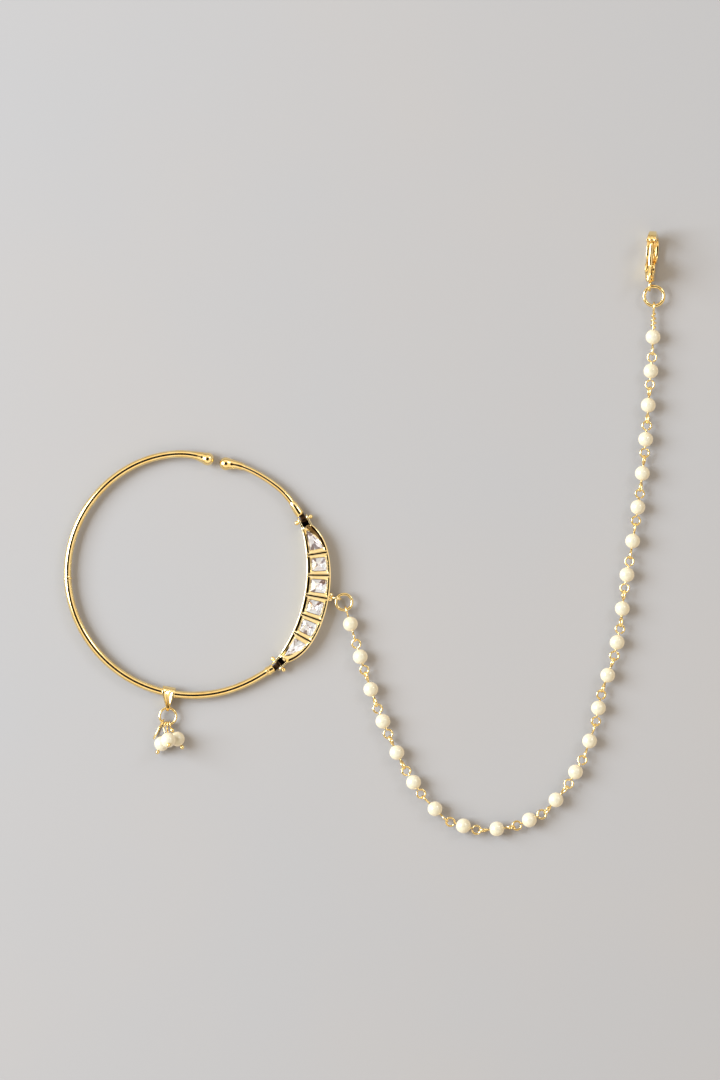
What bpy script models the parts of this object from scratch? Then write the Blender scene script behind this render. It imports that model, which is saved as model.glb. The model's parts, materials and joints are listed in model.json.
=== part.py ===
"""A nath nose ring: a hinged ring with a stone-set crescent, a pearl drop and a pearl chain with its clasp.

The ring lies flat on the XY plane with the crescent to the right. The whole jewel is centred on the origin
and its lowest points are at z = 0. Lengths are metres, angles are degrees counter-clockwise from +X.
"""

import math

import bmesh
import bpy
from mathutils import Matrix, Vector

MM = 0.001

# Ring: two tube arcs, each hinged to one end of the crescent and closed by a ball at its free end.
RING_RADIUS = 24.3 * MM
JOINT_SHARE = 1.035
JOINT_RADIUS = RING_RADIUS * JOINT_SHARE
LONG_TUBE_DIAMETER = 1.5 * MM
SHORT_TUBE_DIAMETER = 1.2 * MM
BALL_DIAMETER = 2.6 * MM
LONG_BALL_ANGLE = 81.4
SHORT_BALL_ANGLE = 72.1
COLLAR_ANGLE = 182.0
COLLAR_PROUD = 0.12 * MM
COLLAR_LENGTH = 0.5 * MM
ARC_STEP = 4.5

# Centreline radius as a share of RING_RADIUS, against the share of the way from hinge to ball.
LONG_ARC_ROWS = (
    (0.00, JOINT_SHARE), (0.04, 1.016), (0.12, 1.003), (0.25, 0.992), (0.40, 0.994),
    (0.58, 1.008), (0.83, 1.008), (0.92, 0.998), (0.96, 0.985), (1.00, 0.958),
)
SHORT_ARC_ROWS = (
    (0.00, JOINT_SHARE), (0.10, 1.027), (0.35, 1.020), (0.48, 1.009),
    (0.61, 0.998), (0.74, 0.989), (0.87, 0.978), (1.00, 0.955),
)
# The pear-shaped end: distance before the ball's centre and radius, both as shares of the ball's radius.
BALL_ROWS = ((0.45, 0.900), (0.80, 0.800), (1.00, 0.790), (1.25, 0.740), (1.80, 0.640), (2.60, 0.580))
BALL_CAP_SHARES = (0.0, -0.35, -0.62, -0.84, -0.97)

# Crescent setting with a row of stones, each in its own pocket.
SETTING_ANGLE = -10.0
SETTING_HALF_ANGLE = 32.6
SETTING_HEIGHT = 2.6 * MM
SETTING_WIDTH = 4.9 * MM
SETTING_INWARD_SHARE = 0.398
SETTING_RISE_SHARE = 0.184
SETTING_FALL_SHARE = 0.388
SETTING_OUTER_STEPS = 14
SETTING_INNER_STEPS = 10
STONE_COUNT = 6
CELL_SPACING = 9.6
END_CELL_MARGIN = 0.6
RIM_WIDTH = 0.27 * MM
WALL_SLOPE_WIDTH = 0.33 * MM
LEDGE_WIDTH = 0.08 * MM
LEDGE_HEIGHT = 1.45 * MM
POCKET_FLOOR = 0.4 * MM
POCKET_FLOOR_SHARE = 0.72
DIVIDER_WIDTH = 0.20 * MM
DIVIDER_DEPTH = 0.7 * MM
STONE_CLEARANCE = 0.08 * MM
STONE_TABLE_DROP = 0.12 * MM
STONE_CROWN_HEIGHT = 0.45 * MM
STONE_GIRDLE = 0.12 * MM
STONE_TABLE_SHARE = 0.70
STONE_PAVILION_DEPTH = 1.25 * MM
STONE_CULET_SHARE = 0.22
CUTTER_OVERRUN = 0.26 * MM

# Hinges: cheeks on the crescent, a round tongue on each arc and a radial pin with ball heads.
JOINT_ANGLE = 35.6
KNUCKLE_RADIUS = 0.9 * MM
CHEEK_THICKNESS = 0.4 * MM
TONGUE_WIDTH = 1.1 * MM
TONGUE_RADIUS = 0.75 * MM
TONGUE_SIDE_GAP = 0.15 * MM
HINGE_GAP = 0.2 * MM
PIN_DIAMETER = 0.5 * MM
PIN_CLEARANCE = 0.06 * MM
PIN_HEAD_DIAMETER = 0.9 * MM
PIN_HEAD_STEPS = 5
LONG_FERRULE_LENGTH = 1.7 * MM
SHORT_FERRULE_LENGTH = 3.1 * MM
# Along a ferrule from the knuckle: share of its length, then its radius as a share of the knuckle's.
FERRULE_ROWS = ((0.00, 0.86), (0.12, 0.98), (0.50, 0.96))
# Its last step before the tube: share of its length, then its radius as a share of the tube's.
FERRULE_STEP = (0.88, 1.16)
TONGUE_NECK_SHARE = 0.8

# Drop: a bail over the long arc, a ring, three pearls on ball-headed pins, a small bead and an oval link.
BAIL_ANGLE = -100.4
BAIL_ROLL_RADIUS = BALL_DIAMETER / 2
BAIL_CLEARANCE = 0.13 * MM
BAIL_WIDTH = 2.6 * MM
BAIL_TIP_WIDTH = 0.6 * MM
BAIL_LENGTH = 2.96 * MM
BAIL_TIP_DROP = 0.1 * MM
BAIL_TIP_SHIFT = 0.45 * MM
BAIL_EYE_RADIUS = 0.42 * MM
BAIL_EYE_WALL = 0.28 * MM
DROP_RING_DIAMETER = 3.8 * MM
DROP_RING_WIRE = 0.5 * MM
DROP_PEARL_DIAMETER = 3.0 * MM
DROP_PIN_WIRE = 0.32 * MM
DROP_PIN_BALL_DIAMETER = 0.9 * MM
PIN_BALL_SHARES = (-0.88, -0.5, 0.0, 0.5, 0.85)
PIN_BALL_SEAT_SHARE = 0.9
DROP_LOOP_RADIUS = 0.55 * MM
DROP_LOOP_CLEARANCE = 0.08 * MM
DROP_BEAD_DIAMETER = 0.9 * MM
DROP_BEAD_GAP = 0.08 * MM
DROP_STACK_GAP = 0.1 * MM
# Angle of the pin's loop on the drop ring, then where the pearl lies from the drop ring's centre (share of
# the pearl's diameter across and along), and the pin's direction through it (across, along, up).
DROP_ROWS = (
    ("1", -111.0, (-0.407, -1.820), (-0.68, -1.38, -0.25)),
    ("2", -75.0, (0.627, -1.513), (0.50, -0.85, -0.06)),
    ("3", -93.0, (0.053, -1.553), (0.12, -0.92, 1.70)),
)
OVAL_LINK_LENGTH = 4.6 * MM
OVAL_LINK_WIDTH = 2.6 * MM
OVAL_LINK_WIRE = 0.4 * MM
OVAL_LINK_ANGLE = -133.0
OVAL_LINK_HEADING = -117.5

# Chain: an eye soldered to the crescent, a ring, pearls on eye pins and a second ring at the clasp.
CHAIN_EYE_ANGLE = -9.3
CHAIN_EYE_RADIUS = 0.95 * MM
CHAIN_EYE_WIRE = 0.5 * MM
CHAIN_EYE_SOLDER_RADIUS = 0.45 * MM
CHAIN_RING_DIAMETER = 3.8 * MM
CHAIN_RING_WIRE = 0.6 * MM
CHAIN_RING_HEADING = -26.4
CHAIN_RING_SLACK = 0.164 * MM
CHAIN_PEARLS = 25
PEARL_DIAMETER = 3.0 * MM
PEARL_BORE_CLEARANCE = 0.18 * MM
EYE_PIN_WIRE = 0.42 * MM
EYE_PIN_LOOP_RADIUS = 0.85 * MM
EYE_PIN_TWIST = 16.0
EYE_PIN_TWIST_STEP = 120.3
LINK_BITE = 0.10 * MM
LINK_CLEARANCE = 0.10 * MM
WRAP_LENGTH = 1.9 * MM
WRAP_DIAMETER = 1.1 * MM
# Points that the chain runs through and its last ring's centre, in millimetres from its first ring's centre.
CHAIN_ROUTE_MM = (
    (3.0, -10.2), (7.4, -23.1), (13.6, -36.0), (17.8, -40.7), (22.8, -45.3), (29.6, -45.5), (36.6, -44.1),
    (42.3, -40.0), (48.9, -28.8), (52.0, -15.8), (55.1, -8.2), (55.4, -1.2), (57.8, 13.0), (59.8, 27.2),
    (60.9, 41.2), (61.9, 54.2),
)
CLASP_RING_PLACE_MM = (61.9, 61.1)
ROUTE_STEPS = 24

# Clasp: a claw seen edge-on, lying on its back with its lever up, its eye through the clasp ring.
CLASP_RING_DIAMETER = 4.6 * MM
CLASP_RING_WIRE = 0.7 * MM
CLASP_EYE_HEADING = 110.5
CLASP_HEADING = 86.0
CLASP_ROLL = 7.0
CLASP_EYE_RADIUS = 1.0 * MM
CLASP_EYE_WIRE = 0.5 * MM
CLASP_LENGTH = 9.9 * MM
CLASP_WIDTH = 6.0 * MM
CLASP_THICKNESS = 2.4 * MM
# Place along the clasp and thickness there, as shares of its length and thickness.
CLASP_THICKNESS_ROWS = ((0.0, 0.70), (0.25, 0.80), (0.55, 1.0), (0.80, 0.98), (0.93, 0.80), (1.0, 0.56))
CLASP_NECK_RADIUS = 0.65 * MM
CLASP_NECK_LENGTH = 0.8 * MM
CLASP_EYE_SHARE = 0.20
LEVER_THICKNESS = 0.8 * MM
LEVER_THICKNESS_ROWS = ((0.0, 1.0), (0.55, 1.0), (0.75, 0.8))
LEVER_SIDE_GAP = 0.15 * MM
RIVET_DIAMETER = 0.7 * MM
RIVET_CLEARANCE = 0.06 * MM
RIVET_PROUD = 0.1 * MM
LEVER_PIVOT = (0.19, 0.66)
# Outlines as shares of the clasp's length and width.
CLASP_BODY_OUTLINE = (
    (0.00, 0.14), (0.12, 0.03), (0.35, 0.01), (0.65, 0.01), (0.88, 0.12), (1.00, 0.42), (0.98, 0.72),
    (0.89, 0.92), (0.79, 0.98), (0.775, 0.84), (0.84, 0.70), (0.855, 0.50), (0.78, 0.30), (0.60, 0.23),
    (0.45, 0.27), (0.37, 0.42), (0.35, 0.65), (0.31, 0.82), (0.18, 0.86), (0.06, 0.62), (0.00, 0.36),
)
LEVER_OUTLINE = (
    (0.10, 0.62), (0.15, 0.53), (0.24, 0.54), (0.31, 0.68), (0.42, 0.77), (0.60, 0.83), (0.742, 0.85),
    (0.750, 0.94), (0.60, 0.96), (0.42, 0.94), (0.30, 0.92), (0.22, 0.98), (0.12, 1.05), (0.00, 1.08),
    (-0.02, 1.04), (0.05, 0.98), (0.10, 0.88),
)
SLOT_SHARES = ((0.055, 0.46), (0.40, 1.10))

PEARL_SIDES = 10
WIRE_SIDES = 5
RING_STEPS = 14
BORE_SIDES = 12
LOOP_STEPS = 10
LOOP_START_ANGLE = 170.0
LOOP_STEP_ANGLE = 32.0
SHARP_ANGLE = 35.0

SETTING_INNER_RADIUS = JOINT_RADIUS - SETTING_WIDTH * SETTING_INWARD_SHARE
SETTING_OUTER_RADIUS = SETTING_INNER_RADIUS + SETTING_WIDTH
BALL_RADIUS = BALL_DIAMETER / 2
RING_HEIGHT = BALL_RADIUS
CHAIN_HEIGHT = PEARL_DIAMETER / 2
WELD_DISTANCE = 0.002 * MM

GOLD = ("polished_gold", (0.86, 0.60, 0.22), 1.0, 0.14)
PALE_GOLD = ("pale_gold", (0.90, 0.74, 0.42), 1.0, 0.16)
PEARL = ("pearl_cream", (0.93, 0.88, 0.74), 0.0, 0.22)
CRYSTAL = ("clear_crystal", (0.92, 0.90, 0.88), 0.0, 0.03)


def clear_scene():
    for old in list(bpy.data.objects):
        bpy.data.objects.remove(old, do_unlink=True)


def new_collection(name):
    collection = bpy.data.collections.new(name)
    bpy.context.scene.collection.children.link(collection)
    return collection


def finish(material_row):
    """The Principled material of a (name, colour, metallic, roughness) row, made once."""
    name, colour, metallic, roughness = material_row
    material = bpy.data.materials.get(name) or bpy.data.materials.new(name)
    material.use_nodes = True
    shader = material.node_tree.nodes["Principled BSDF"]
    shader.inputs["Base Color"].default_value = (*colour, 1.0)
    shader.inputs["Metallic"].default_value = metallic
    shader.inputs["Roughness"].default_value = roughness
    return material


def add_mesh(name, mesh, collection, material_row=None):
    piece = bpy.data.objects.new(name, mesh)
    collection.objects.link(piece)
    if material_row:
        mesh.materials.clear()
        mesh.materials.append(finish(material_row))
    return piece


def tidy_mesh(mesh, matrix=None):
    """Welds loose caps and turns every face outwards."""
    shape = bmesh.new()
    shape.from_mesh(mesh)
    if matrix:
        bmesh.ops.transform(shape, matrix=matrix, verts=shape.verts)
    bmesh.ops.remove_doubles(shape, verts=shape.verts, dist=WELD_DISTANCE)
    bmesh.ops.recalc_face_normals(shape, faces=shape.faces)
    shape.to_mesh(mesh)
    shape.free()


def evaluated_mesh(source):
    graph = bpy.context.evaluated_depsgraph_get()
    return bpy.data.meshes.new_from_object(source.evaluated_get(graph), depsgraph=graph)


def curve_to_mesh(curve_object, name):
    """Replaces a curve object by a welded mesh object that takes its matrix."""
    bpy.context.view_layer.update()
    mesh = evaluated_mesh(curve_object)
    matrix = curve_object.matrix_world.copy()
    curve_data = curve_object.data
    bpy.data.objects.remove(curve_object, do_unlink=True)
    bpy.data.curves.remove(curve_data)
    tidy_mesh(mesh)
    piece = add_mesh(name, mesh, PARTS)
    piece.matrix_world = matrix
    return piece


def wire_profile(radius, sides):
    """A closed outline of a wire's section, which a curve takes as its bevel object."""
    data = bpy.data.curves.new("wire_profile", "CURVE")
    data.dimensions = "2D"
    data.fill_mode = "NONE"
    spline = data.splines.new("POLY")
    spline.points.add(sides - 1)
    for index in range(sides):
        angle = 2 * math.pi * index / sides
        spline.points[index].co = (radius * math.cos(angle), radius * math.sin(angle), 0.0, 1.0)
    spline.use_cyclic_u = True
    guide = bpy.data.objects.new("wire_profile", data)
    CUTTERS.objects.link(guide)
    guide.hide_render = True
    guide.display_type = "WIRE"
    return guide


def wire(name, points, radius, sides=WIRE_SIDES, shares=None, closed=False):
    """A round wire along the points; shares scale its radius point by point."""
    data = bpy.data.curves.new(name, "CURVE")
    data.dimensions = "3D"
    data.use_fill_caps = True
    data.bevel_mode = "OBJECT"
    guide = wire_profile(radius, sides)
    data.bevel_object = guide
    spline = data.splines.new("POLY")
    spline.points.add(len(points) - 1)
    for index, point in enumerate(points):
        spline.points[index].co = (*point, 1.0)
        spline.points[index].radius = shares[index] if shares else 1.0
    spline.use_cyclic_u = closed
    strand = bpy.data.objects.new(name, data)
    PARTS.objects.link(strand)
    piece = curve_to_mesh(strand, name)
    profile_data = guide.data
    bpy.data.objects.remove(guide, do_unlink=True)
    bpy.data.curves.remove(profile_data)
    return piece


def plate(name, outlines, thickness, matrix):
    """A flat plate of one or more outlines, inner ones being holes, centred on its mid-plane."""
    data = bpy.data.curves.new(name, "CURVE")
    data.dimensions = "2D"
    data.fill_mode = "BOTH"
    data.extrude = thickness / 2
    for outline in outlines:
        spline = data.splines.new("POLY")
        spline.points.add(len(outline) - 1)
        for index, (x, y) in enumerate(outline):
            spline.points[index].co = (x, y, 0.0, 1.0)
        spline.use_cyclic_u = True
    blank = bpy.data.objects.new(name, data)
    PARTS.objects.link(blank)
    piece = curve_to_mesh(blank, name)
    tidy_mesh(piece.data, matrix)
    return piece


def turned(name, profile, sides, matrix, material_row):
    """A turned piece: (radius, height) profile from the top down the outer side, round its local Z."""
    mesh = bpy.data.meshes.new(name)
    shape = bmesh.new()
    points = [shape.verts.new((radius, 0.0, height)) for radius, height in profile]
    for first, second in zip(points, points[1:]):
        shape.edges.new((first, second))
    if profile[0][0] > WELD_DISTANCE:
        shape.edges.new((points[-1], points[0]))
    shape.to_mesh(mesh)
    shape.free()
    piece = add_mesh(name, mesh, PARTS, material_row)
    screw = piece.modifiers.new("turn", "SCREW")
    screw.axis = "Z"
    screw.steps = sides
    screw.render_steps = sides
    screw.use_merge_vertices = True
    screw.merge_threshold = WELD_DISTANCE
    screw.use_normal_calculate = True
    piece.matrix_world = matrix
    return piece


def combine(base, others, operation):
    """Boolean of the base with each of the others in turn, which are used up."""
    for other in others:
        cut = base.modifiers.new("joined", "BOOLEAN")
        cut.operation = operation
        cut.solver = "EXACT"
        cut.object = other
        bpy.context.view_layer.update()
        mesh = evaluated_mesh(base)
        base.modifiers.clear()
        base.data = mesh
        bpy.data.objects.remove(other, do_unlink=True)
    return base


def loft(name, sections):
    """A closed solid through sections of equal point count, from the top down."""
    mesh = bpy.data.meshes.new(name)
    shape = bmesh.new()
    rings = [[shape.verts.new(point) for point in section] for section in sections]
    for upper, lower in zip(rings, rings[1:]):
        for index in range(len(upper)):
            following = (index + 1) % len(upper)
            shape.faces.new((upper[index], upper[following], lower[following], lower[index]))
    shape.faces.new(rings[0])
    shape.faces.new(rings[-1])
    bmesh.ops.recalc_face_normals(shape, faces=shape.faces)
    shape.to_mesh(mesh)
    shape.free()
    return add_mesh(name, mesh, PARTS)


def block(name, low, high, matrix):
    """A box between two corners of a local frame."""
    mesh = bpy.data.meshes.new(name)
    shape = bmesh.new()
    bmesh.ops.create_cube(shape, size=1.0)
    size = [b - a for a, b in zip(low, high)]
    middle = [(a + b) / 2 for a, b in zip(low, high)]
    bmesh.ops.transform(shape, matrix=Matrix.LocRotScale(middle, None, size), verts=shape.verts)
    bmesh.ops.transform(shape, matrix=matrix, verts=shape.verts)
    bmesh.ops.recalc_face_normals(shape, faces=shape.faces)
    shape.to_mesh(mesh)
    shape.free()
    return add_mesh(name, mesh, PARTS)


def rod(name, start, end, radius, sides):
    """A cylinder between two points."""
    start = Vector(start)
    end = Vector(end)
    mesh = bpy.data.meshes.new(name)
    shape = bmesh.new()
    bmesh.ops.create_cone(
        shape, cap_ends=True, segments=sides, radius1=radius, radius2=radius, depth=(end - start).length
    )
    turn = (end - start).to_track_quat("Z", "Y").to_matrix().to_4x4()
    bmesh.ops.transform(shape, matrix=Matrix.Translation((start + end) / 2) @ turn, verts=shape.verts)
    shape.to_mesh(mesh)
    shape.free()
    return add_mesh(name, mesh, PARTS)


def circle(radius, sides, centre=(0.0, 0.0), start=0.0, sweep=360.0):
    """Points round a circle; a part circle includes its last point."""
    whole = abs(sweep - 360.0) < 1e-6
    steps = sides if whole else sides - 1
    return [
        (
            centre[0] + radius * math.cos(math.radians(start + sweep * index / steps)),
            centre[1] + radius * math.sin(math.radians(start + sweep * index / steps)),
        )
        for index in range(sides)
    ]


def polar(radius, degrees, height):
    angle = math.radians(degrees)
    return Vector((radius * math.cos(angle), radius * math.sin(angle), height))


def frame_at(origin, first, second, third):
    """The matrix of a local frame with the given axes."""
    matrix = Matrix((first, second, third)).transposed().to_4x4()
    matrix.translation = origin
    return matrix


def read_table(rows, share):
    """A smooth value between the rows of a (share, value) table."""
    share = min(max(share, rows[0][0]), rows[-1][0])
    index = max(i for i in range(len(rows) - 1) if rows[i][0] <= share)
    (x0, y0), (x1, y1) = rows[index], rows[index + 1]
    before = rows[max(index - 1, 0)]
    after = rows[min(index + 2, len(rows) - 1)]
    slope0 = (y1 - before[1]) / (x1 - before[0])
    slope1 = (after[1] - y0) / (after[0] - x0)
    width = x1 - x0
    t = (share - x0) / width
    return (
        (2 * t**3 - 3 * t**2 + 1) * y0
        + (t**3 - 2 * t**2 + t) * width * slope0
        + (3 * t**2 - 2 * t**3) * y1
        + (t**3 - t**2) * width * slope1
    )


def smooth_path(points, steps, closed=False):
    """Catmull-Rom points through the given ones."""
    count = len(points)
    spans = count if closed else count - 1
    path = []
    for span in range(spans):
        if closed:
            p0, p1, p2, p3 = (points[(span + offset) % count] for offset in (-1, 0, 1, 2))
        else:
            p0, p1 = points[max(span - 1, 0)], points[span]
            p2, p3 = points[span + 1], points[min(span + 2, count - 1)]
        for step in range(steps):
            t = step / steps
            path.append(tuple(
                b
                + (c - a) * t / 2
                + (2 * a - 5 * b + 4 * c - d) * t**2 / 2
                + (3 * b - a - 3 * c + d) * t**3 / 2
                for a, b, c, d in zip(p0, p1, p2, p3)
            ))
    if not closed:
        path.append(tuple(points[-1]))
    return path


class Joint:
    """One hinge of the ring: its place, its radial axis and the way its arc leaves it."""

    def __init__(self, side):
        self.side = side
        self.angle = SETTING_ANGLE + side * JOINT_ANGLE
        self.centre = polar(JOINT_RADIUS, self.angle, RING_HEIGHT)
        self.radial = polar(1.0, self.angle, 0.0)
        self.along = polar(1.0, self.angle + side * 90.0, 0.0)
        self.matrix = frame_at(self.centre, self.radial, self.along, Vector((0.0, 0.0, 1.0)))
        self.side_matrix = frame_at(self.centre, self.along, Vector((0.0, 0.0, 1.0)), self.radial)

    def degrees_to(self, angle):
        """How far round the ring an angle lies from the hinge, the way that its arc runs."""
        return (self.side * (angle - self.angle)) % 360.0


def set_origin(piece, point):
    """Moves an object's origin to a point of the world and leaves its shape in place."""
    piece.data.transform(Matrix.Translation(-Vector(point)))
    piece.location = Vector(point)


def arc_stations(joint, ball_angle, rows, tube_radius, ferrule_length):
    """Points along an arc and the tube's radius at each, from ferrule to the ball's far side."""
    ferrule_start = KNUCKLE_RADIUS + HINGE_GAP
    ferrule_end = ferrule_start + ferrule_length
    sweep = joint.side * joint.degrees_to(ball_angle)
    degrees_per_length = math.degrees(1.0 / RING_RADIUS)

    def place(length):
        share = length * degrees_per_length / abs(sweep)
        radius = RING_RADIUS * read_table(rows, share)
        return polar(radius, joint.angle + sweep * share, RING_HEIGHT)

    total = abs(sweep) / degrees_per_length
    flare = BALL_ROWS[-1][0] * BALL_RADIUS
    stations = [
        (ferrule_start + ferrule_length * share, KNUCKLE_RADIUS * width) for share, width in FERRULE_ROWS
    ]
    stations.append((ferrule_start + ferrule_length * FERRULE_STEP[0], tube_radius * FERRULE_STEP[1]))
    stations.append((ferrule_end, tube_radius))
    collar = joint.degrees_to(COLLAR_ANGLE) / degrees_per_length
    plain_steps = round((total - flare - ferrule_end) / (ARC_STEP / degrees_per_length))
    for index in range(1, plain_steps):
        length = ferrule_end + (total - flare - ferrule_end) * index / plain_steps
        if joint.side > 0 or abs(length - collar) > COLLAR_LENGTH * 2:
            stations.append((length, tube_radius))
    if joint.side < 0:
        for offset, proud in ((-0.6, 0.0), (-0.5, 1.0), (0.5, 1.0), (0.6, 0.0)):
            stations.append((collar + offset * COLLAR_LENGTH, tube_radius + proud * COLLAR_PROUD))
    stations.sort()
    for before, share in reversed(BALL_ROWS):
        stations.append((total - before * BALL_RADIUS, max(share * BALL_RADIUS, tube_radius)))
    points = [place(length) for length, _ in stations]
    radii = [radius for _, radius in stations]
    centre = place(total)
    heading = (centre - place(total - BALL_RADIUS)).normalized()
    for beyond in BALL_CAP_SHARES:
        points.append(centre - heading * beyond * BALL_RADIUS)
        radii.append(BALL_RADIUS * math.sqrt(1.0 - beyond**2))
    return points, radii


def tongue_outline():
    """Round end on the hinge axis and a straight neck into the ferrule."""
    neck = TONGUE_RADIUS * TONGUE_NECK_SHARE
    reach = KNUCKLE_RADIUS + HINGE_GAP * 3
    return [(reach, neck)] + circle(TONGUE_RADIUS, 11, start=55.0, sweep=250.0) + [(reach, -neck)]


def build_arc(name, joint, ball_angle, rows, tube_diameter, ferrule_length):
    points, radii = arc_stations(joint, ball_angle, rows, tube_diameter / 2, ferrule_length)
    arc = wire(name, points, 1.0, 8, radii)
    tongue = plate("tongue", [tongue_outline()], TONGUE_WIDTH, joint.side_matrix)
    bore = rod(
        "pin_bore",
        joint.centre - joint.radial * TONGUE_WIDTH,
        joint.centre + joint.radial * TONGUE_WIDTH,
        PIN_DIAMETER / 2 + PIN_CLEARANCE,
        BORE_SIDES,
    )
    combine(arc, [tongue], "UNION")
    combine(arc, [bore], "DIFFERENCE")
    arc.data.materials.clear()
    arc.data.materials.append(finish(GOLD))
    set_origin(arc, joint.centre)
    return arc


def setting_inner(offset):
    share = min(abs(offset) / SETTING_HALF_ANGLE, 1.0)
    return SETTING_INNER_RADIUS + SETTING_WIDTH * SETTING_RISE_SHARE * share**2


def setting_outer(offset):
    share = min(abs(offset) / SETTING_HALF_ANGLE, 1.0)
    return SETTING_OUTER_RADIUS - SETTING_WIDTH * SETTING_FALL_SHARE * share**5


def cell_corners(cell):
    """The eight corners of one cell of the crescent, seen from above."""
    first = (cell - STONE_COUNT / 2) * CELL_SPACING
    last = first + CELL_SPACING
    limit = SETTING_HALF_ANGLE - END_CELL_MARGIN
    if cell == 0:
        first = -limit
    if cell == STONE_COUNT - 1:
        last = limit
    offsets = [first + (last - first) * third / 3 for third in range(4)]
    inner = [polar(setting_inner(a), SETTING_ANGLE + a, 0.0).to_2d() for a in offsets]
    outer = [polar(setting_outer(a), SETTING_ANGLE + a, 0.0).to_2d() for a in reversed(offsets)]
    return list(reversed(inner + outer))


def drawn_in(corners, inset):
    """The outline with every side moved inwards by the inset."""
    count = len(corners)
    moved = []
    for index, corner in enumerate(corners):
        before = (corner - corners[index - 1]).normalized()
        after = (corners[(index + 1) % count] - corner).normalized()
        normal_before = Vector((-before.y, before.x))
        normal_after = Vector((-after.y, after.x))
        middle = (normal_before + normal_after).normalized()
        moved.append(corner + middle * inset / middle.dot(normal_after))
    return moved


def shrunk(corners, share):
    """The outline scaled about its middle."""
    middle = sum(corners, Vector((0.0, 0.0))) / len(corners)
    return [middle + (corner - middle) * share for corner in corners]


def at_height(corners, height):
    return [Vector((corner.x, corner.y, height)) for corner in corners]


def fork(joint):
    """The block of the two cheeks, round on the hinge axis and run back into the crescent."""
    width = TONGUE_WIDTH + 2 * (TONGUE_SIDE_GAP + CHEEK_THICKNESS)
    back = math.radians(JOINT_ANGLE - SETTING_HALF_ANGLE) * JOINT_RADIUS + CHEEK_THICKNESS
    outline = (
        [(-back, KNUCKLE_RADIUS)]
        + circle(KNUCKLE_RADIUS, 9, start=90.0, sweep=-180.0)
        + [(-back, -KNUCKLE_RADIUS)]
    )
    return plate("fork", [outline], width, joint.side_matrix)


def fork_slot(joint):
    half = TONGUE_WIDTH / 2 + TONGUE_SIDE_GAP
    back = TONGUE_RADIUS + HINGE_GAP
    low = (-half, -back, -SETTING_HEIGHT)
    high = (half, 3 * KNUCKLE_RADIUS, SETTING_HEIGHT)
    return block("slot", low, high, joint.matrix)


def chain_eye_centre():
    reach = SETTING_OUTER_RADIUS + CHAIN_EYE_RADIUS + CHAIN_EYE_WIRE
    return polar(reach, CHAIN_EYE_ANGLE, RING_HEIGHT)


def chain_ring_centre():
    """The chain's first ring hangs in the eye by its wire."""
    reach = (CHAIN_RING_DIAMETER - CHAIN_RING_WIRE) / 2 + CHAIN_RING_SLACK
    eye = chain_eye_centre()
    centre = eye + polar(reach, CHAIN_RING_HEADING, 0.0)
    centre.z = CHAIN_HEIGHT
    return centre


def ring_points(centre, first, second, radius, sides):
    """Points round a circle in the plane of two directions."""
    return [centre + first * x + second * y for x, y in circle(radius, sides)]


def build_setting(joints):
    outward = spread(SETTING_OUTER_STEPS)
    inward = reversed(spread(SETTING_INNER_STEPS))
    outer = [polar(setting_outer(a), SETTING_ANGLE + a, 0.0).to_2d() for a in outward]
    inner = [polar(setting_inner(a), SETTING_ANGLE + a, 0.0).to_2d() for a in inward]
    lift = Matrix.Translation((0.0, 0.0, SETTING_HEIGHT / 2))
    setting = plate("stone_setting", [[tuple(p) for p in outer + inner]], SETTING_HEIGHT, lift)
    combine(setting, [fork(joint) for joint in joints], "UNION")
    cutters = [fork_slot(joint) for joint in joints]
    for joint in joints:
        reach = joint.radial * SETTING_HEIGHT
        bore_radius = PIN_DIAMETER / 2 + PIN_CLEARANCE
        cutters.append(rod("pin_bore", joint.centre - reach, joint.centre + reach, bore_radius, BORE_SIDES))
    for cell in range(STONE_COUNT):
        corners = cell_corners(cell)
        over = WALL_SLOPE_WIDTH * CUTTER_OVERRUN / (SETTING_HEIGHT - LEDGE_HEIGHT)
        ledge = drawn_in(corners, RIM_WIDTH + WALL_SLOPE_WIDTH + LEDGE_WIDTH)
        cutters.append(loft("pocket", [
            at_height(drawn_in(corners, RIM_WIDTH - over), SETTING_HEIGHT + CUTTER_OVERRUN),
            at_height(drawn_in(corners, RIM_WIDTH + WALL_SLOPE_WIDTH), LEDGE_HEIGHT),
            at_height(ledge, LEDGE_HEIGHT),
            at_height(shrunk(ledge, POCKET_FLOOR_SHARE), POCKET_FLOOR),
        ]))
    for divider in range(1, STONE_COUNT):
        offset = (divider - STONE_COUNT / 2) * CELL_SPACING
        across = polar(1.0, SETTING_ANGLE + offset, 0.0)
        side = polar(1.0, SETTING_ANGLE + offset + 90.0, 0.0)
        matrix = frame_at(Vector((0.0, 0.0, 0.0)), across, side, Vector((0.0, 0.0, 1.0)))
        low = (setting_inner(offset) - RIM_WIDTH, -DIVIDER_WIDTH / 2, SETTING_HEIGHT - DIVIDER_DEPTH)
        high = (setting_outer(offset) - RIM_WIDTH, DIVIDER_WIDTH / 2, SETTING_HEIGHT + CUTTER_OVERRUN)
        cutters.append(block("divider", low, high, matrix))
    combine(setting, cutters, "DIFFERENCE")
    centre = chain_eye_centre()
    outward = polar(1.0, CHAIN_EYE_ANGLE, 0.0)
    loop = ring_points(centre, outward, Vector((0.0, 0.0, 1.0)), CHAIN_EYE_RADIUS, 12)
    eye = wire("chain_eye", loop, CHAIN_EYE_WIRE / 2, 6, closed=True)
    solder_end = centre - outward * (CHAIN_EYE_RADIUS - CHAIN_EYE_WIRE / 4)
    solder_start = polar(SETTING_OUTER_RADIUS - RIM_WIDTH / 2, CHAIN_EYE_ANGLE, RING_HEIGHT)
    solder = rod("solder", solder_start, solder_end, CHAIN_EYE_SOLDER_RADIUS, 8)
    combine(setting, [solder, eye], "UNION")
    tidy_mesh(setting.data)
    setting.data.materials.clear()
    setting.data.materials.append(finish(PALE_GOLD))
    return setting


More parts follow.
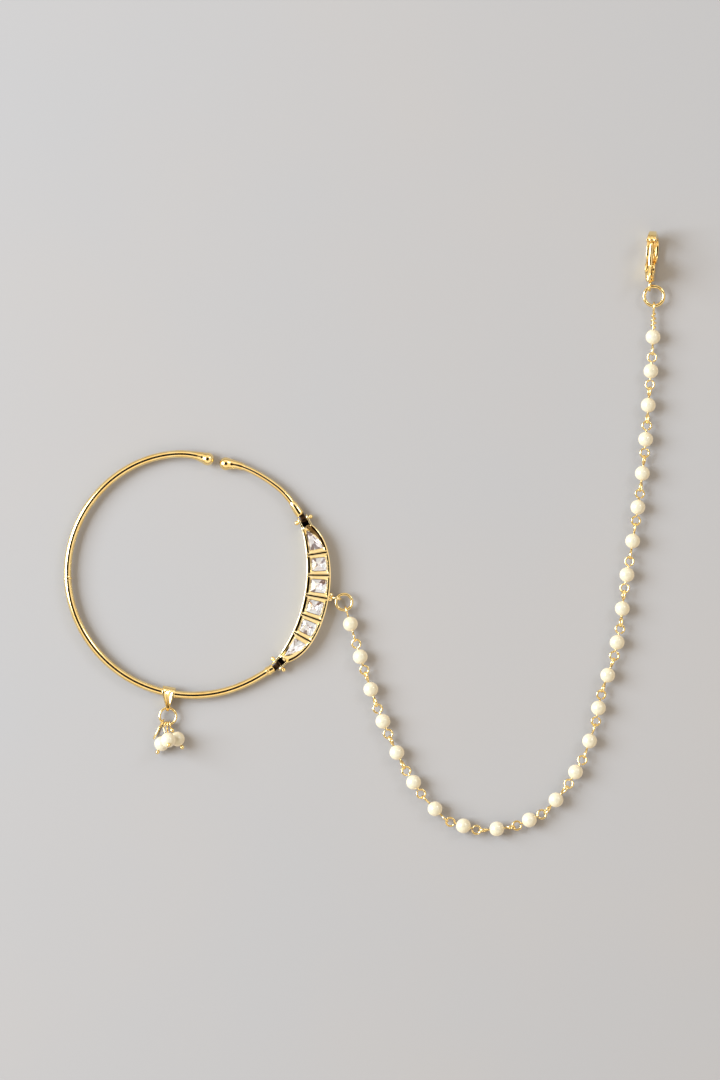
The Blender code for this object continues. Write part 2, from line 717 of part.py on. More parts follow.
def spread(steps):
    return [-SETTING_HALF_ANGLE + 2 * SETTING_HALF_ANGLE * index / steps for index in range(steps + 1)]


def build_stone(cell):
    """A cut stone: flat table, crown facets, girdle, pavilion facets and a small flat culet."""
    table = SETTING_HEIGHT - STONE_TABLE_DROP
    girdle_top = table - STONE_CROWN_HEIGHT
    girdle_low = girdle_top - STONE_GIRDLE
    wall = RIM_WIDTH + WALL_SLOPE_WIDTH * (SETTING_HEIGHT - girdle_low) / (SETTING_HEIGHT - LEDGE_HEIGHT)
    girdle = drawn_in(cell_corners(cell), wall + STONE_CLEARANCE)
    stone = loft(f"stone_{cell + 1}", [
        at_height(shrunk(girdle, STONE_TABLE_SHARE), table),
        at_height(girdle, girdle_top),
        at_height(girdle, girdle_low),
        at_height(shrunk(girdle, STONE_CULET_SHARE), girdle_low - STONE_PAVILION_DEPTH),
    ])
    stone.data.materials.append(finish(CRYSTAL))
    return stone


def build_hinge_pin(name, joint):
    """A round pin with a ball on each end, lying along the ring's radius."""
    reach = TONGUE_WIDTH / 2 + TONGUE_SIDE_GAP + CHEEK_THICKNESS + PIN_CLEARANCE
    head = PIN_HEAD_DIAMETER / 2
    shaft = PIN_DIAMETER / 2
    neck = math.sqrt(head**2 - shaft**2)
    centre = reach + neck
    lowest = -math.acos(shaft / head)
    top = [(0.0, centre + head)]
    for step in range(1, PIN_HEAD_STEPS + 1):
        angle = math.pi / 2 + (lowest - math.pi / 2) * step / PIN_HEAD_STEPS
        top.append((head * math.cos(angle), centre + head * math.sin(angle)))
    bottom = [(radius, -height) for radius, height in reversed(top)]
    turn = joint.radial.to_track_quat("Z", "Y").to_matrix().to_4x4()
    return turned(name, top + bottom, BORE_SIDES, Matrix.Translation(joint.centre) @ turn, GOLD)


def pearl_profile(radius, bore):
    """A drilled round bead, outer side first from the top, then up the bore."""
    opening = math.degrees(math.acos(bore / radius))
    steps = PEARL_SIDES // 2
    return [
        (
            radius * math.cos(math.radians(opening - 2 * opening * index / steps)),
            radius * math.sin(math.radians(opening - 2 * opening * index / steps)),
        )
        for index in range(steps + 1)
    ]


def build_pearl(name, centre, heading, diameter, pin_wire, material_row=PEARL):
    bore = pin_wire / 2 + PEARL_BORE_CLEARANCE
    turn = Vector(heading).to_track_quat("Z", "Y").to_matrix().to_4x4()
    matrix = Matrix.Translation(centre) @ turn
    return turned(name, pearl_profile(diameter / 2, bore), PEARL_SIDES, matrix, material_row)


def loop_points(centre, heading, side, radius, wire_size):
    """An eye bent in the plane of heading and side, entered from behind and open by a hair."""
    points = [centre - heading * (radius + wire_size / 2)]
    for step in range(LOOP_STEPS + 1):
        angle = math.radians(LOOP_START_ANGLE - LOOP_STEP_ANGLE * step)
        points.append(centre + heading * (radius * math.cos(angle)) + side * (radius * math.sin(angle)))
    return points


def build_bail(tube_point, outward, tangent):
    """A strap folded over the tube, tapering to an eye for the drop ring."""
    inner = LONG_TUBE_DIAMETER / 2 + BAIL_CLEARANCE
    tip = (BAIL_LENGTH, -BAIL_TIP_DROP)
    tip_radius = BAIL_EYE_RADIUS + BAIL_EYE_WALL
    outline = circle(BAIL_ROLL_RADIUS, 11, start=80.0, sweep=200.0)
    outline += circle(tip_radius, 7, centre=tip, start=-95.0, sweep=180.0)
    holes = [circle(inner, 12), circle(BAIL_EYE_RADIUS, 10, centre=tip)]
    flat = plate("drop_bail", [outline] + holes, BAIL_WIDTH, Matrix.Identity(4))
    shape = bmesh.new()
    shape.from_mesh(flat.data)
    for vertex in shape.verts:
        share = min(max(vertex.co.x / BAIL_LENGTH, 0.0), 1.0)
        taper = 1.0 + (BAIL_TIP_WIDTH / BAIL_WIDTH - 1.0) * share
        vertex.co.z = vertex.co.z * taper + BAIL_TIP_SHIFT * share**2
    shape.to_mesh(flat.data)
    shape.free()
    up = Vector((0.0, 0.0, 1.0))
    tidy_mesh(flat.data, frame_at(tube_point, outward, up, tangent))
    flat.data.materials.append(finish(GOLD))
    return flat


def build_drop(joint):
    """The bail, the drop ring and everything that hangs on it, all carried by the long arc."""
    pieces = []
    share = joint.degrees_to(BAIL_ANGLE) / joint.degrees_to(LONG_BALL_ANGLE)
    tube = polar(RING_RADIUS * read_table(LONG_ARC_ROWS, share), BAIL_ANGLE, RING_HEIGHT)
    outward = polar(1.0, BAIL_ANGLE, 0.0)
    tangent = polar(1.0, BAIL_ANGLE + 90.0, 0.0)
    pieces.append(build_bail(tube, outward, tangent))
    eye = tube + outward * BAIL_LENGTH + tangent * BAIL_TIP_SHIFT - Vector((0.0, 0.0, BAIL_TIP_DROP))
    ring_radius = (DROP_RING_DIAMETER - DROP_RING_WIRE) / 2
    centre = eye - Vector((0.0, ring_radius, 0.0))
    across = Vector((1.0, 0.0, 0.0))
    along = Vector((0.0, 1.0, 0.0))
    ring_path = ring_points(centre, across, along, ring_radius, RING_STEPS)
    ring = wire("drop_ring", ring_path, DROP_RING_WIRE / 2, 6, closed=True)
    ring.data.materials.append(finish(GOLD))
    pieces.append(ring)
    pearl_radius = DROP_PEARL_DIAMETER / 2
    low = [place for name, _, place, _ in DROP_ROWS[:2]]
    top = DROP_ROWS[2][2]
    nearest = min(math.hypot(top[0] - x, top[1] - y) for x, y in low)
    stack = math.sqrt((DROP_PEARL_DIAMETER + DROP_STACK_GAP) ** 2 - (nearest * DROP_PEARL_DIAMETER) ** 2)
    for name, loop_angle, (x, y), way in DROP_ROWS:
        height = pearl_radius + (stack if name == "3" else 0.0)
        pearl_at = centre + Vector((x, y, 0.0)) * DROP_PEARL_DIAMETER
        pearl_at.z = height
        heading = Vector(way).normalized()
        wire_size = DROP_PIN_WIRE
        pieces.append(build_pearl(f"drop_pearl_{name}", pearl_at, heading, DROP_PEARL_DIAMETER, wire_size))
        pieces.append(build_drop_pin(name, centre, ring_radius, loop_angle, pearl_at, heading))
        if name == "2":
            bead_at = pearl_at - heading * (pearl_radius + DROP_BEAD_DIAMETER / 2 + DROP_BEAD_GAP)
            pieces.append(build_pearl("drop_bead", bead_at, heading, DROP_BEAD_DIAMETER, wire_size, GOLD))
    pieces.append(build_oval_link(centre, ring_radius))
    return pieces


def build_drop_pin(name, centre, ring_radius, loop_angle, pearl_at, heading):
    """A wire with a loop on the drop ring, a straight run through the pearl and a ball at its end."""
    pearl_radius = DROP_PEARL_DIAMETER / 2
    slack = DROP_LOOP_RADIUS - (DROP_PIN_WIRE + DROP_RING_WIRE) / 2 - DROP_LOOP_CLEARANCE
    outward = polar(1.0, loop_angle, 0.0)
    loop_at = centre + outward * (ring_radius + slack)
    enter = pearl_at - heading * (pearl_radius + DROP_PIN_WIRE)
    if name == "2":
        enter = enter - heading * DROP_BEAD_DIAMETER
    loop = loop_points(loop_at, -outward, Vector((0.0, 0.0, 1.0)), DROP_LOOP_RADIUS, DROP_PIN_WIRE)
    ball_radius = DROP_PIN_BALL_DIAMETER / 2
    ball_at = pearl_at + heading * (pearl_radius + ball_radius * PIN_BALL_SEAT_SHARE)
    points = list(reversed(loop)) + [enter, pearl_at]
    shares = [1.0] * len(points)
    for offset in PIN_BALL_SHARES:
        points.append(ball_at + heading * ball_radius * offset)
        shares.append(math.sqrt(1.0 - offset**2) * ball_radius / (DROP_PIN_WIRE / 2))
    pin = wire(f"drop_pin_{name}", points, DROP_PIN_WIRE / 2, WIRE_SIDES, shares)
    pin.data.materials.append(finish(GOLD))
    return pin


def build_oval_link(centre, ring_radius):
    """A long link hooked on the drop ring and lying on edge beside the first pearl."""
    hook = centre + polar(ring_radius, OVAL_LINK_ANGLE, 0.0)
    way = polar(1.0, OVAL_LINK_HEADING, 0.0)
    half_length = (OVAL_LINK_LENGTH - OVAL_LINK_WIRE) / 2
    half_width = (OVAL_LINK_WIDTH - OVAL_LINK_WIRE) / 2
    middle = hook + way * (half_length - (OVAL_LINK_WIRE + DROP_RING_WIRE) / 2 - LINK_CLEARANCE)
    middle.z = OVAL_LINK_WIDTH / 2
    points = [
        middle + way * (half_length * x) + Vector((0.0, 0.0, half_width * y))
        for x, y in circle(1.0, RING_STEPS)
    ]
    link = wire("drop_oval_link", points, OVAL_LINK_WIRE / 2, 6, closed=True)
    link.data.materials.append(finish(GOLD))
    return link


def equal_points(path, count):
    """Points a straight pitch apart along the path, which fits the count of pitches exactly."""
    def walk(pitch):
        places = [path[0]]
        for target in path[1:]:
            while (target - places[-1]).length >= pitch:
                places.append(places[-1] + (target - places[-1]).normalized() * pitch)
        return places

    low, high = 0.0, sum((b - a).length for a, b in zip(path, path[1:])) / count * 1.5
    for _ in range(60):
        pitch = (low + high) / 2
        if len(walk(pitch)) > count:
            low = pitch
        else:
            high = pitch
    return walk(low)[: count + 1]


def build_chain():
    """The two end rings, the eye pins as one linked body and the pearls they run through."""
    pieces = []
    up = Vector((0.0, 0.0, 1.0))
    across = Vector((1.0, 0.0, 0.0))
    along = Vector((0.0, 1.0, 0.0))
    ring_at = chain_ring_centre()
    ring_radius = (CHAIN_RING_DIAMETER - CHAIN_RING_WIRE) / 2
    ring_path = ring_points(ring_at, across, along, ring_radius, RING_STEPS)
    ring = wire("chain_ring", ring_path, CHAIN_RING_WIRE / 2, 6, closed=True)
    ring.data.materials.append(finish(GOLD))
    pieces.append(ring)
    clasp_at = ring_at + Vector((*CLASP_RING_PLACE_MM, 0.0)) * MM
    clasp_radius = (CLASP_RING_DIAMETER - CLASP_RING_WIRE) / 2
    clasp_path = ring_points(clasp_at, across, along, clasp_radius, RING_STEPS)
    clasp_ring = wire("clasp_ring", clasp_path, CLASP_RING_WIRE / 2, 6, closed=True)
    clasp_ring.data.materials.append(finish(GOLD))
    pieces.append(clasp_ring)

    loop = EYE_PIN_LOOP_RADIUS
    wire_size = EYE_PIN_WIRE
    start_reach = ring_radius + loop - (CHAIN_RING_WIRE + wire_size) / 2 - LINK_CLEARANCE
    end_reach = clasp_radius + loop - (CLASP_RING_WIRE + wire_size) / 2 - LINK_CLEARANCE
    route = [ring_at + Vector((*point, 0.0)) * MM for point in CHAIN_ROUTE_MM]
    half_bite = (2 * loop - wire_size + LINK_BITE) / 2
    leaving = (route[0] - ring_at).normalized()
    arriving = (route[-1] - clasp_at).normalized()
    last = clasp_at + arriving * end_reach
    lead = ring_at + leaving * (start_reach - half_bite)
    knots = [lead] + route + [last + arriving * (WRAP_LENGTH + half_bite)]
    path = [Vector(point) for point in smooth_path([tuple(knot) for knot in knots], ROUTE_STEPS)]
    places = equal_points(path, CHAIN_PEARLS)
    links = None
    for index in range(CHAIN_PEARLS):
        start, end = places[index], places[index + 1]
        heading = (end - start).normalized()
        side = up.cross(heading).normalized()
        quarter = 90.0 if index % 2 == 0 else 0.0
        tilt = math.radians(quarter + EYE_PIN_TWIST * math.sin(math.radians(EYE_PIN_TWIST_STEP * index)))
        plane = side * math.cos(tilt) + up * math.sin(tilt)
        near = start + heading * half_bite
        far = end - heading * half_bite
        if index == CHAIN_PEARLS - 1:
            far = last
            heading = (far - near).normalized()
        middle = (start + end) / 2
        points = list(reversed(loop_points(near, -heading, plane, loop, wire_size)))
        points += loop_points(far, heading, plane, loop, wire_size)
        pin = wire("chain_links", points, wire_size / 2)
        if index == CHAIN_PEARLS - 1:
            wrap_from = far - heading * (loop + wire_size / 2)
            wrap = rod("wrap", wrap_from, wrap_from - heading * WRAP_LENGTH, WRAP_DIAMETER / 2, 8)
            combine(pin, [wrap], "UNION")
        if links:
            combine(links, [pin], "UNION")
        else:
            links = pin
        pieces.append(build_pearl(f"chain_pearl_{index + 1:02d}", middle, heading, PEARL_DIAMETER, wire_size))
    links.name = "chain_links"
    links.data.materials.clear()
    links.data.materials.append(finish(GOLD))
    pieces.append(links)
    return pieces, clasp_at, clasp_radius


def clasp_plate(name, outline, thickness, matrix, steps, rows):
    """A plate in the clasp's plane from an outline of shares, its thickness following a table."""
    scaled = [(x * CLASP_LENGTH, y * CLASP_WIDTH) for x, y in outline]
    piece = plate(name, [smooth_path(scaled, steps, closed=True)], thickness, Matrix.Identity(4))
    for vertex in piece.data.vertices:
        vertex.co.z *= read_table(rows, vertex.co.x / CLASP_LENGTH)
    tidy_mesh(piece.data, matrix)
    return piece


def build_clasp(ring_at, ring_radius):
    """The claw's body with its eye, its lever and the rivet that the lever turns on."""
    slack = CLASP_EYE_RADIUS - (CLASP_EYE_WIRE + CLASP_RING_WIRE) / 2 - LINK_CLEARANCE
    eye = ring_at + polar(ring_radius + slack, CLASP_EYE_HEADING, 0.0)
    roll = math.radians(CLASP_ROLL)
    lengthwise = polar(1.0, CLASP_HEADING, 0.0)
    leftward = polar(1.0, CLASP_HEADING + 90.0, 0.0)
    width_way = leftward * math.sin(roll) + Vector((0.0, 0.0, math.cos(roll)))
    thick_way = lengthwise.cross(width_way)
    lift = CLASP_THICKNESS / 2 * math.sin(roll)
    neck_height = CLASP_EYE_SHARE * CLASP_WIDTH
    origin = eye + lengthwise * (CLASP_EYE_RADIUS - CLASP_EYE_WIRE / 4) - width_way * neck_height
    origin.z = lift
    eye.z = lift + neck_height * math.cos(roll)
    matrix = frame_at(origin, lengthwise, width_way, thick_way)
    body = clasp_plate("clasp_body", CLASP_BODY_OUTLINE, CLASP_THICKNESS, matrix, 2, CLASP_THICKNESS_ROWS)
    loop = ring_points(eye, lengthwise, width_way, CLASP_EYE_RADIUS, 12)
    eye_ring = wire("clasp_eye", loop, CLASP_EYE_WIRE / 2, 6, closed=True)
    neck_from = eye + lengthwise * CLASP_EYE_RADIUS
    neck = rod("neck", neck_from, neck_from + lengthwise * CLASP_NECK_LENGTH, CLASP_NECK_RADIUS, 10)
    combine(body, [neck, eye_ring], "UNION")
    slot_width = LEVER_THICKNESS / 2 + LEVER_SIDE_GAP
    (x0, y0), (x1, y1) = SLOT_SHARES
    slot = block(
        "slot",
        (x0 * CLASP_LENGTH, y0 * CLASP_WIDTH, -slot_width),
        (x1 * CLASP_LENGTH, y1 * CLASP_WIDTH, slot_width),
        matrix,
    )
    pivot = matrix @ Vector((LEVER_PIVOT[0] * CLASP_LENGTH, LEVER_PIVOT[1] * CLASP_WIDTH, 0.0))
    reach = thick_way * CLASP_THICKNESS
    bore_radius = RIVET_DIAMETER / 2 + RIVET_CLEARANCE
    combine(body, [slot, rod("bore", pivot - reach, pivot + reach, bore_radius, BORE_SIDES)], "DIFFERENCE")
    body.data.materials.clear()
    body.data.materials.append(finish(GOLD))
    lever = clasp_plate("clasp_lever", LEVER_OUTLINE, LEVER_THICKNESS, matrix, 2, LEVER_THICKNESS_ROWS)
    combine(lever, [rod("bore", pivot - reach, pivot + reach, bore_radius, BORE_SIDES)], "DIFFERENCE")
    lever.data.materials.clear()
    lever.data.materials.append(finish(GOLD))
    set_origin(lever, pivot)
    thickness_there = CLASP_THICKNESS * read_table(CLASP_THICKNESS_ROWS, LEVER_PIVOT[0])
    half = thick_way * (thickness_there / 2 + RIVET_PROUD)
    rivet = rod("clasp_rivet", pivot - half, pivot + half, RIVET_DIAMETER / 2, BORE_SIDES)
    rivet.data.materials.append(finish(GOLD))
    return [body, lever, rivet]


def centre_on_origin(pieces):
    """Hangs every piece on one empty and moves it so that the jewel stands centred on the origin."""
    bpy.context.view_layer.update()
    graph = bpy.context.evaluated_depsgraph_get()
    low = Vector((math.inf,) * 3)
    high = Vector((-math.inf,) * 3)
    for piece in pieces:
        shape = piece.evaluated_get(graph)
        mesh = shape.to_mesh()
        for vertex in mesh.vertices:
            point = shape.matrix_world @ vertex.co
            low = Vector(map(min, low, point))
            high = Vector(map(max, high, point))
        shape.to_mesh_clear()
    base = bpy.data.objects.new("nath", None)
    PARTS.objects.link(base)
    for piece in pieces:
        piece.parent = base
    base.location = (-(low.x + high.x) / 2, -(low.y + high.y) / 2, -low.z)


def shade(piece):
    piece.data.shade_smooth()
    piece.data.set_sharp_from_angle(angle=math.radians(SHARP_ANGLE))


def build():
    upper, lower = Joint(1), Joint(-1)
    pieces = [build_setting((upper, lower))]
    pieces += [build_stone(cell) for cell in range(STONE_COUNT)]
    pieces.append(build_hinge_pin("hinge_pin_upper", upper))
    pieces.append(build_hinge_pin("hinge_pin_lower", lower))
    long_tube = (LONG_TUBE_DIAMETER, LONG_FERRULE_LENGTH)
    short_tube = (SHORT_TUBE_DIAMETER, SHORT_FERRULE_LENGTH)
    pieces.append(build_arc("ring_long_arc", lower, LONG_BALL_ANGLE, LONG_ARC_ROWS, *long_tube))
    pieces.append(build_arc("ring_short_arc", upper, SHORT_BALL_ANGLE, SHORT_ARC_ROWS, *short_tube))
    pieces += build_drop(lower)
    chain, ring_at, ring_radius = build_chain()
    pieces += chain
    pieces += build_clasp(ring_at, ring_radius)
    for piece in pieces:
        if not piece.name.startswith("stone_"):
            shade(piece)
    centre_on_origin(pieces)


clear_scene()
PARTS = new_collection("nath_nose_ring")
CUTTERS = new_collection("nath_guides")
build()
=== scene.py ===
"""Looks of a nath nose ring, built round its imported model.

The jewel lies flat and is seen from straight above: a hinged ring with a stone-set crescent, a
pearl drop and a pearl chain with its clasp. Lengths are metres, and angles are degrees
counter-clockwise from +X.
"""

import json
import logging
import math
import random
from collections.abc import Callable, Sequence
from dataclasses import dataclass, field
from enum import Enum

import bmesh
import bpy
from mathutils import Matrix, Vector


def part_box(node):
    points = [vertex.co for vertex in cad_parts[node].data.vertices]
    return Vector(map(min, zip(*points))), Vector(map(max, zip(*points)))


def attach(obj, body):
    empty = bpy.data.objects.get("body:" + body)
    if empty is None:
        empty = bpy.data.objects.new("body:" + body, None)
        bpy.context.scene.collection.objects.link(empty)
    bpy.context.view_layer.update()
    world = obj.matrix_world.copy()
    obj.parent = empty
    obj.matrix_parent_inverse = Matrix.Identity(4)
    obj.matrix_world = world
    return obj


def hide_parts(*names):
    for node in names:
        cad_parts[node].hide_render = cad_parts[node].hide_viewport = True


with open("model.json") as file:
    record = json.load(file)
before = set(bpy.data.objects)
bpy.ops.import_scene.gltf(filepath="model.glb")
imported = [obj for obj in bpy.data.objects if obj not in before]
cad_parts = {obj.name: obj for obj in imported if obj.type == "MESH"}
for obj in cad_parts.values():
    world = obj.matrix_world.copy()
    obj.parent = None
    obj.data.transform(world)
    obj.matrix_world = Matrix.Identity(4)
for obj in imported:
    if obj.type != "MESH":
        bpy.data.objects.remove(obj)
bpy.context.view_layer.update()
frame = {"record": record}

LOG = logging.getLogger("nath")
MM = 0.001
UP = Vector((0.0, 0.0, 1.0))
WELD = 0.0005 * MM
SHARP_ANGLE = 38.0
FACET = "facet"

Shape = bmesh.types.BMesh
Vertex = bmesh.types.BMVert
Face = bmesh.types.BMFace
Colour = tuple[float, float, float]
Rows = tuple[tuple[float, float], ...]


class Body(Enum):
    """The rigid bodies of the jewel."""

    CRESCENT = "crescent"
    LONG_ARC = "long_arc"
    SHORT_ARC = "short_arc"
    LEVER = "lever"


class Slot(Enum):
    """The material slots of the record."""

    GOLD = "polished_gold"
    PALE_GOLD = "pale_gold"
    PEARL = "pearl_cream"
    CRYSTAL = "clear_crystal"


def fill_ramp(ramp: bpy.types.Node, stops: Sequence[tuple[float, Colour]]) -> None:
    """Sets the stops of a colour ramp.

    Args:
        ramp: The ramp's node.
        stops: Places and colours, the first and last being the ramp's ends.
    """
    elements = ramp.color_ramp.elements
    while len(elements) < len(stops):
        elements.new(0.5)
    for element, (place, colour) in zip(elements, stops):
        element.position = place
        element.color = (*colour, 1.0)


class Recipe:
    """A node material while it is being mixed."""

    def __init__(self, name: str) -> None:
        """Starts a material that holds one Principled shader.

        Args:
            name: The material's name.
        """
        self.material = bpy.data.materials.new(name)
        self.material.use_nodes = True
        self.tree = self.material.node_tree
        self.shader = self.tree.nodes["Principled BSDF"]

    def add(self, kind: str, **settings: object) -> bpy.types.Node:
        """Adds a node.

        Args:
            kind: The node's type name.
            **settings: Properties of the node.

        Returns:
            The new node.
        """
        node = self.tree.nodes.new(kind)
        for key, value in settings.items():
            setattr(node, key, value)
        return node

    def join(self, start: bpy.types.NodeSocket, end: bpy.types.NodeSocket) -> None:
        """Links an output to an input."""
        self.tree.links.new(start, end)

    def set_inputs(self, **values: float) -> None:
        """Sets plain values of the shader's inputs.

        Args:
            **values: Each input's value, with underscores for the spaces in its name.
        """
        for name, value in values.items():
            self.shader.inputs[name.replace("_", " ")].default_value = value

    def noise(self, size: float, detail: float = 3.0) -> bpy.types.NodeSocket:
        """A noise pattern on Object coordinates.

        Args:
            size: The size of a patch in metres.
            detail: The noise's detail.

        Returns:
            The pattern's value output.
        """
        place = self.add("ShaderNodeTexCoord")
        pattern = self.add("ShaderNodeTexNoise")
        pattern.inputs["Scale"].default_value = 1.0 / size
        pattern.inputs["Detail"].default_value = detail
        self.join(place.outputs["Object"], pattern.inputs["Vector"])
        return pattern.outputs["Fac"]

    def ramp(
        self, source: bpy.types.NodeSocket, stops: Sequence[tuple[float, Colour]]
    ) -> bpy.types.NodeSocket:
        """A colour ramp over a value.

        Args:
            source: The value that drives the ramp.
            stops: Places and colours, the first and last being the ramp's ends.

        Returns:
            The ramp's colour output.
        """
        ramp = self.add("ShaderNodeValToRGB")
        fill_ramp(ramp, stops)
        self.join(source, ramp.inputs["Fac"])
        return ramp.outputs["Color"]

    def relief(self, layers: Sequence[tuple[bpy.types.NodeSocket, float]]) -> None:
        """Stacks bump layers into the shader's normal.

        Args:
            layers: Height patterns and their depths in metres.
        """
        below = None
        for pattern, depth in layers:
            bump = self.add("ShaderNodeBump")
            bump.inputs["Strength"].default_value = 1.0
            bump.inputs["Distance"].default_value = depth
            self.join(pattern, bump.inputs["Height"])
            if below:
                self.join(below, bump.inputs["Normal"])
            below = bump.outputs["Normal"]
        self.join(below, self.shader.inputs["Normal"])


@dataclass(frozen=True)
class MetalFinish:
    """Polished plate with a fine grain, a slow wave and a slightly uneven shade."""

    name: str
    colour: Colour
    deep_colour: Colour
    deep_below: float = 0.30
    full_above: float = 0.62
    roughness: float = 0.10
    rough_spread: float = 0.08
    patch_size: float = 2.2 * MM
    wave_size: float = 3.5 * MM
    wave_depth: float = 0.020 * MM
    grain_size: float = 0.09 * MM
    grain_depth: float = 0.0006 * MM

    def material(self) -> bpy.types.Material:
        """Mixes the finish.

        Returns:
            The material.
        """
        recipe = Recipe(self.name)
        patches = recipe.noise(self.patch_size, detail=4.0)
        stops = [(self.deep_below, self.deep_colour), (self.full_above, self.colour)]
        recipe.join(recipe.ramp(patches, stops), recipe.shader.inputs["Base Color"])
        recipe.set_inputs(Metallic=1.0)
        spread = recipe.add("ShaderNodeMapRange")
        spread.inputs["To Min"].default_value = self.roughness
        spread.inputs["To Max"].default_value = self.roughness + self.rough_spread
        recipe.join(recipe.noise(self.patch_size / 3, detail=5.0), spread.inputs["Value"])
        recipe.join(spread.outputs["Result"], recipe.shader.inputs["Roughness"])
        recipe.relief([
            (recipe.noise(self.wave_size, detail=1.0), self.wave_depth),
            (recipe.noise(self.grain_size, detail=2.0), self.grain_depth),
        ])
        return recipe.material


@dataclass(frozen=True)
class PearlFinish:
    """Cream lustre under a clear gloss, with a rim colour that is partly the warm overtone of pearl
    and partly painted light lifting the shaded rim.
    """

    name: str = "pearl_lustre"
    light: Colour = (0.68, 0.64, 0.51)
    warm: Colour = (0.66, 0.60, 0.44)
    # Partly real, partly painted light: a warm overtone at glancing angles, made brighter than the
    # body to lift the rim's shade.
    edge: Colour = (0.99, 0.84, 0.58)
    edge_blend: float = 0.60
    warm_below: float = 0.35
    light_above: float = 0.60
    roughness: float = 0.28
    coat: float = 1.0
    coat_roughness: float = 0.06
    cloud_size: float = 1.1 * MM
    skin_size: float = 0.25 * MM
    skin_depth: float = 0.0015 * MM

    def material(self) -> bpy.types.Material:
        """Mixes the finish.

        Returns:
            The material.
        """
        recipe = Recipe(self.name)
        stops = [(self.warm_below, self.warm), (self.light_above, self.light)]
        cloud = recipe.ramp(recipe.noise(self.cloud_size), stops)
        glance = recipe.add("ShaderNodeLayerWeight")
        glance.inputs["Blend"].default_value = self.edge_blend
        mix = recipe.add("ShaderNodeMix", data_type="RGBA")
        recipe.join(glance.outputs["Facing"], mix.inputs["Factor"])
        recipe.join(cloud, mix.inputs["A"])
        mix.inputs["B"].default_value = (*self.edge, 1.0)
        recipe.join(mix.outputs["Result"], recipe.shader.inputs["Base Color"])
        recipe.set_inputs(
            Roughness=self.roughness, Coat_Weight=self.coat, Coat_Roughness=self.coat_roughness
        )
        recipe.relief([(recipe.noise(self.skin_size), self.skin_depth)])
        return recipe.material


@dataclass(frozen=True)
class CrystalFinish:
    """Clear cut crystal."""

    name: str = "crystal_clear"
    colour: Colour = (1.0, 0.998, 0.996)
    index: float = 1.45
    haze_share: float = 0.99
    haze_size: float = 1.5 * MM
    clear_below: float = 0.3
    hazy_above: float = 0.7

    def material(self) -> bpy.types.Material:
        """Mixes the finish.

        Returns:
            The material.
        """
        recipe = Recipe(self.name)
        hazy = tuple(part * self.haze_share for part in self.colour)
        stops = [(self.clear_below, self.colour), (self.hazy_above, hazy)]
        haze = recipe.ramp(recipe.noise(self.haze_size), stops)
        recipe.join(haze, recipe.shader.inputs["Base Color"])
        recipe.set_inputs(Roughness=0.0, IOR=self.index, Transmission_Weight=1.0)
        return recipe.material


@dataclass(frozen=True)
class FoilWithPaintedLight:
    """The mirrored back of a crystal, with painted light: each facet throws back its own painted
    reflection colour, which also glows.
    """

    name: str = "crystal_foil_painted_glow"
    # Painted light: the foil glows with each facet's colour, though it is no lamp.
    painted_glow: float = 0.34
    mirror: float = 0.5
    roughness: float = 0.06
    # Painted reflections: each facet's value picks a colour from dark brown through grey to white.
    painted_reflection_tints: tuple[tuple[float, Colour], ...] = (
        (0.00, (0.26, 0.15, 0.11)),
        (0.16, (0.50, 0.44, 0.45)),
        (0.32, (0.96, 0.87, 0.85)),
        (0.48, (1.00, 0.98, 0.97)),
        (1.00, (1.00, 1.00, 1.00)),
    )

    def material(self) -> bpy.types.Material:
        """Mixes the finish.

        Returns:
            The material.
        """
        recipe = Recipe(self.name)
        facet = recipe.add("ShaderNodeAttribute", attribute_name=FACET)
        tint = recipe.ramp(facet.outputs["Fac"], self.painted_reflection_tints)
        recipe.join(tint, recipe.shader.inputs["Base Color"])
        recipe.join(tint, recipe.shader.inputs["Emission Color"])
        recipe.set_inputs(
            Emission_Strength=self.painted_glow, Metallic=self.mirror, Roughness=self.roughness
        )
        return recipe.material


def polar(centre: Vector, radius: float, degrees: float, height: float) -> Vector:
    """A point at a radius and angle from a centre.

    Args:
        centre: The centre.
        radius: How far the point lies from it, seen from above.
        degrees: The angle at which it lies.
        height: Its height above the surface.

    Returns:
        The point.
    """
    angle = math.radians(degrees)
    across, along = radius * math.cos(angle), radius * math.sin(angle)
    return Vector((centre.x + across, centre.y + along, height))


def way(degrees: float) -> Vector:
    """The level direction at an angle."""
    angle = math.radians(degrees)
    return Vector((math.cos(angle), math.sin(angle), 0.0))


def arc(radius: float, start: float, end: float, steps: int) -> list[Vector]:
    """Points along a level arc round the origin.

    Args:
        radius: The arc's radius.
        start: The angle of its first point.
        end: The angle of its last point.
        steps: Steps from the first point to the last.

    Returns:
        The points.
    """
    return [way(start + (end - start) * index / steps) * radius for index in range(steps + 1)]


def frame_at(origin: Vector, first: Vector, second: Vector, third: Vector) -> Matrix:
    """The matrix of a local frame.

    Args:
        origin: The frame's origin.
        first: Its X axis.
        second: Its Y axis.
        third: Its Z axis.

    Returns:
        The matrix from the frame to the world.
    """
    matrix = Matrix((first, second, third)).transposed().to_4x4()
    matrix.translation = origin
    return matrix


def facing(origin: Vector, heading: Vector) -> Matrix:
    """A frame at a point whose Z runs along a heading."""
    return Matrix.Translation(origin) @ heading.to_track_quat("Z", "Y").to_matrix().to_4x4()


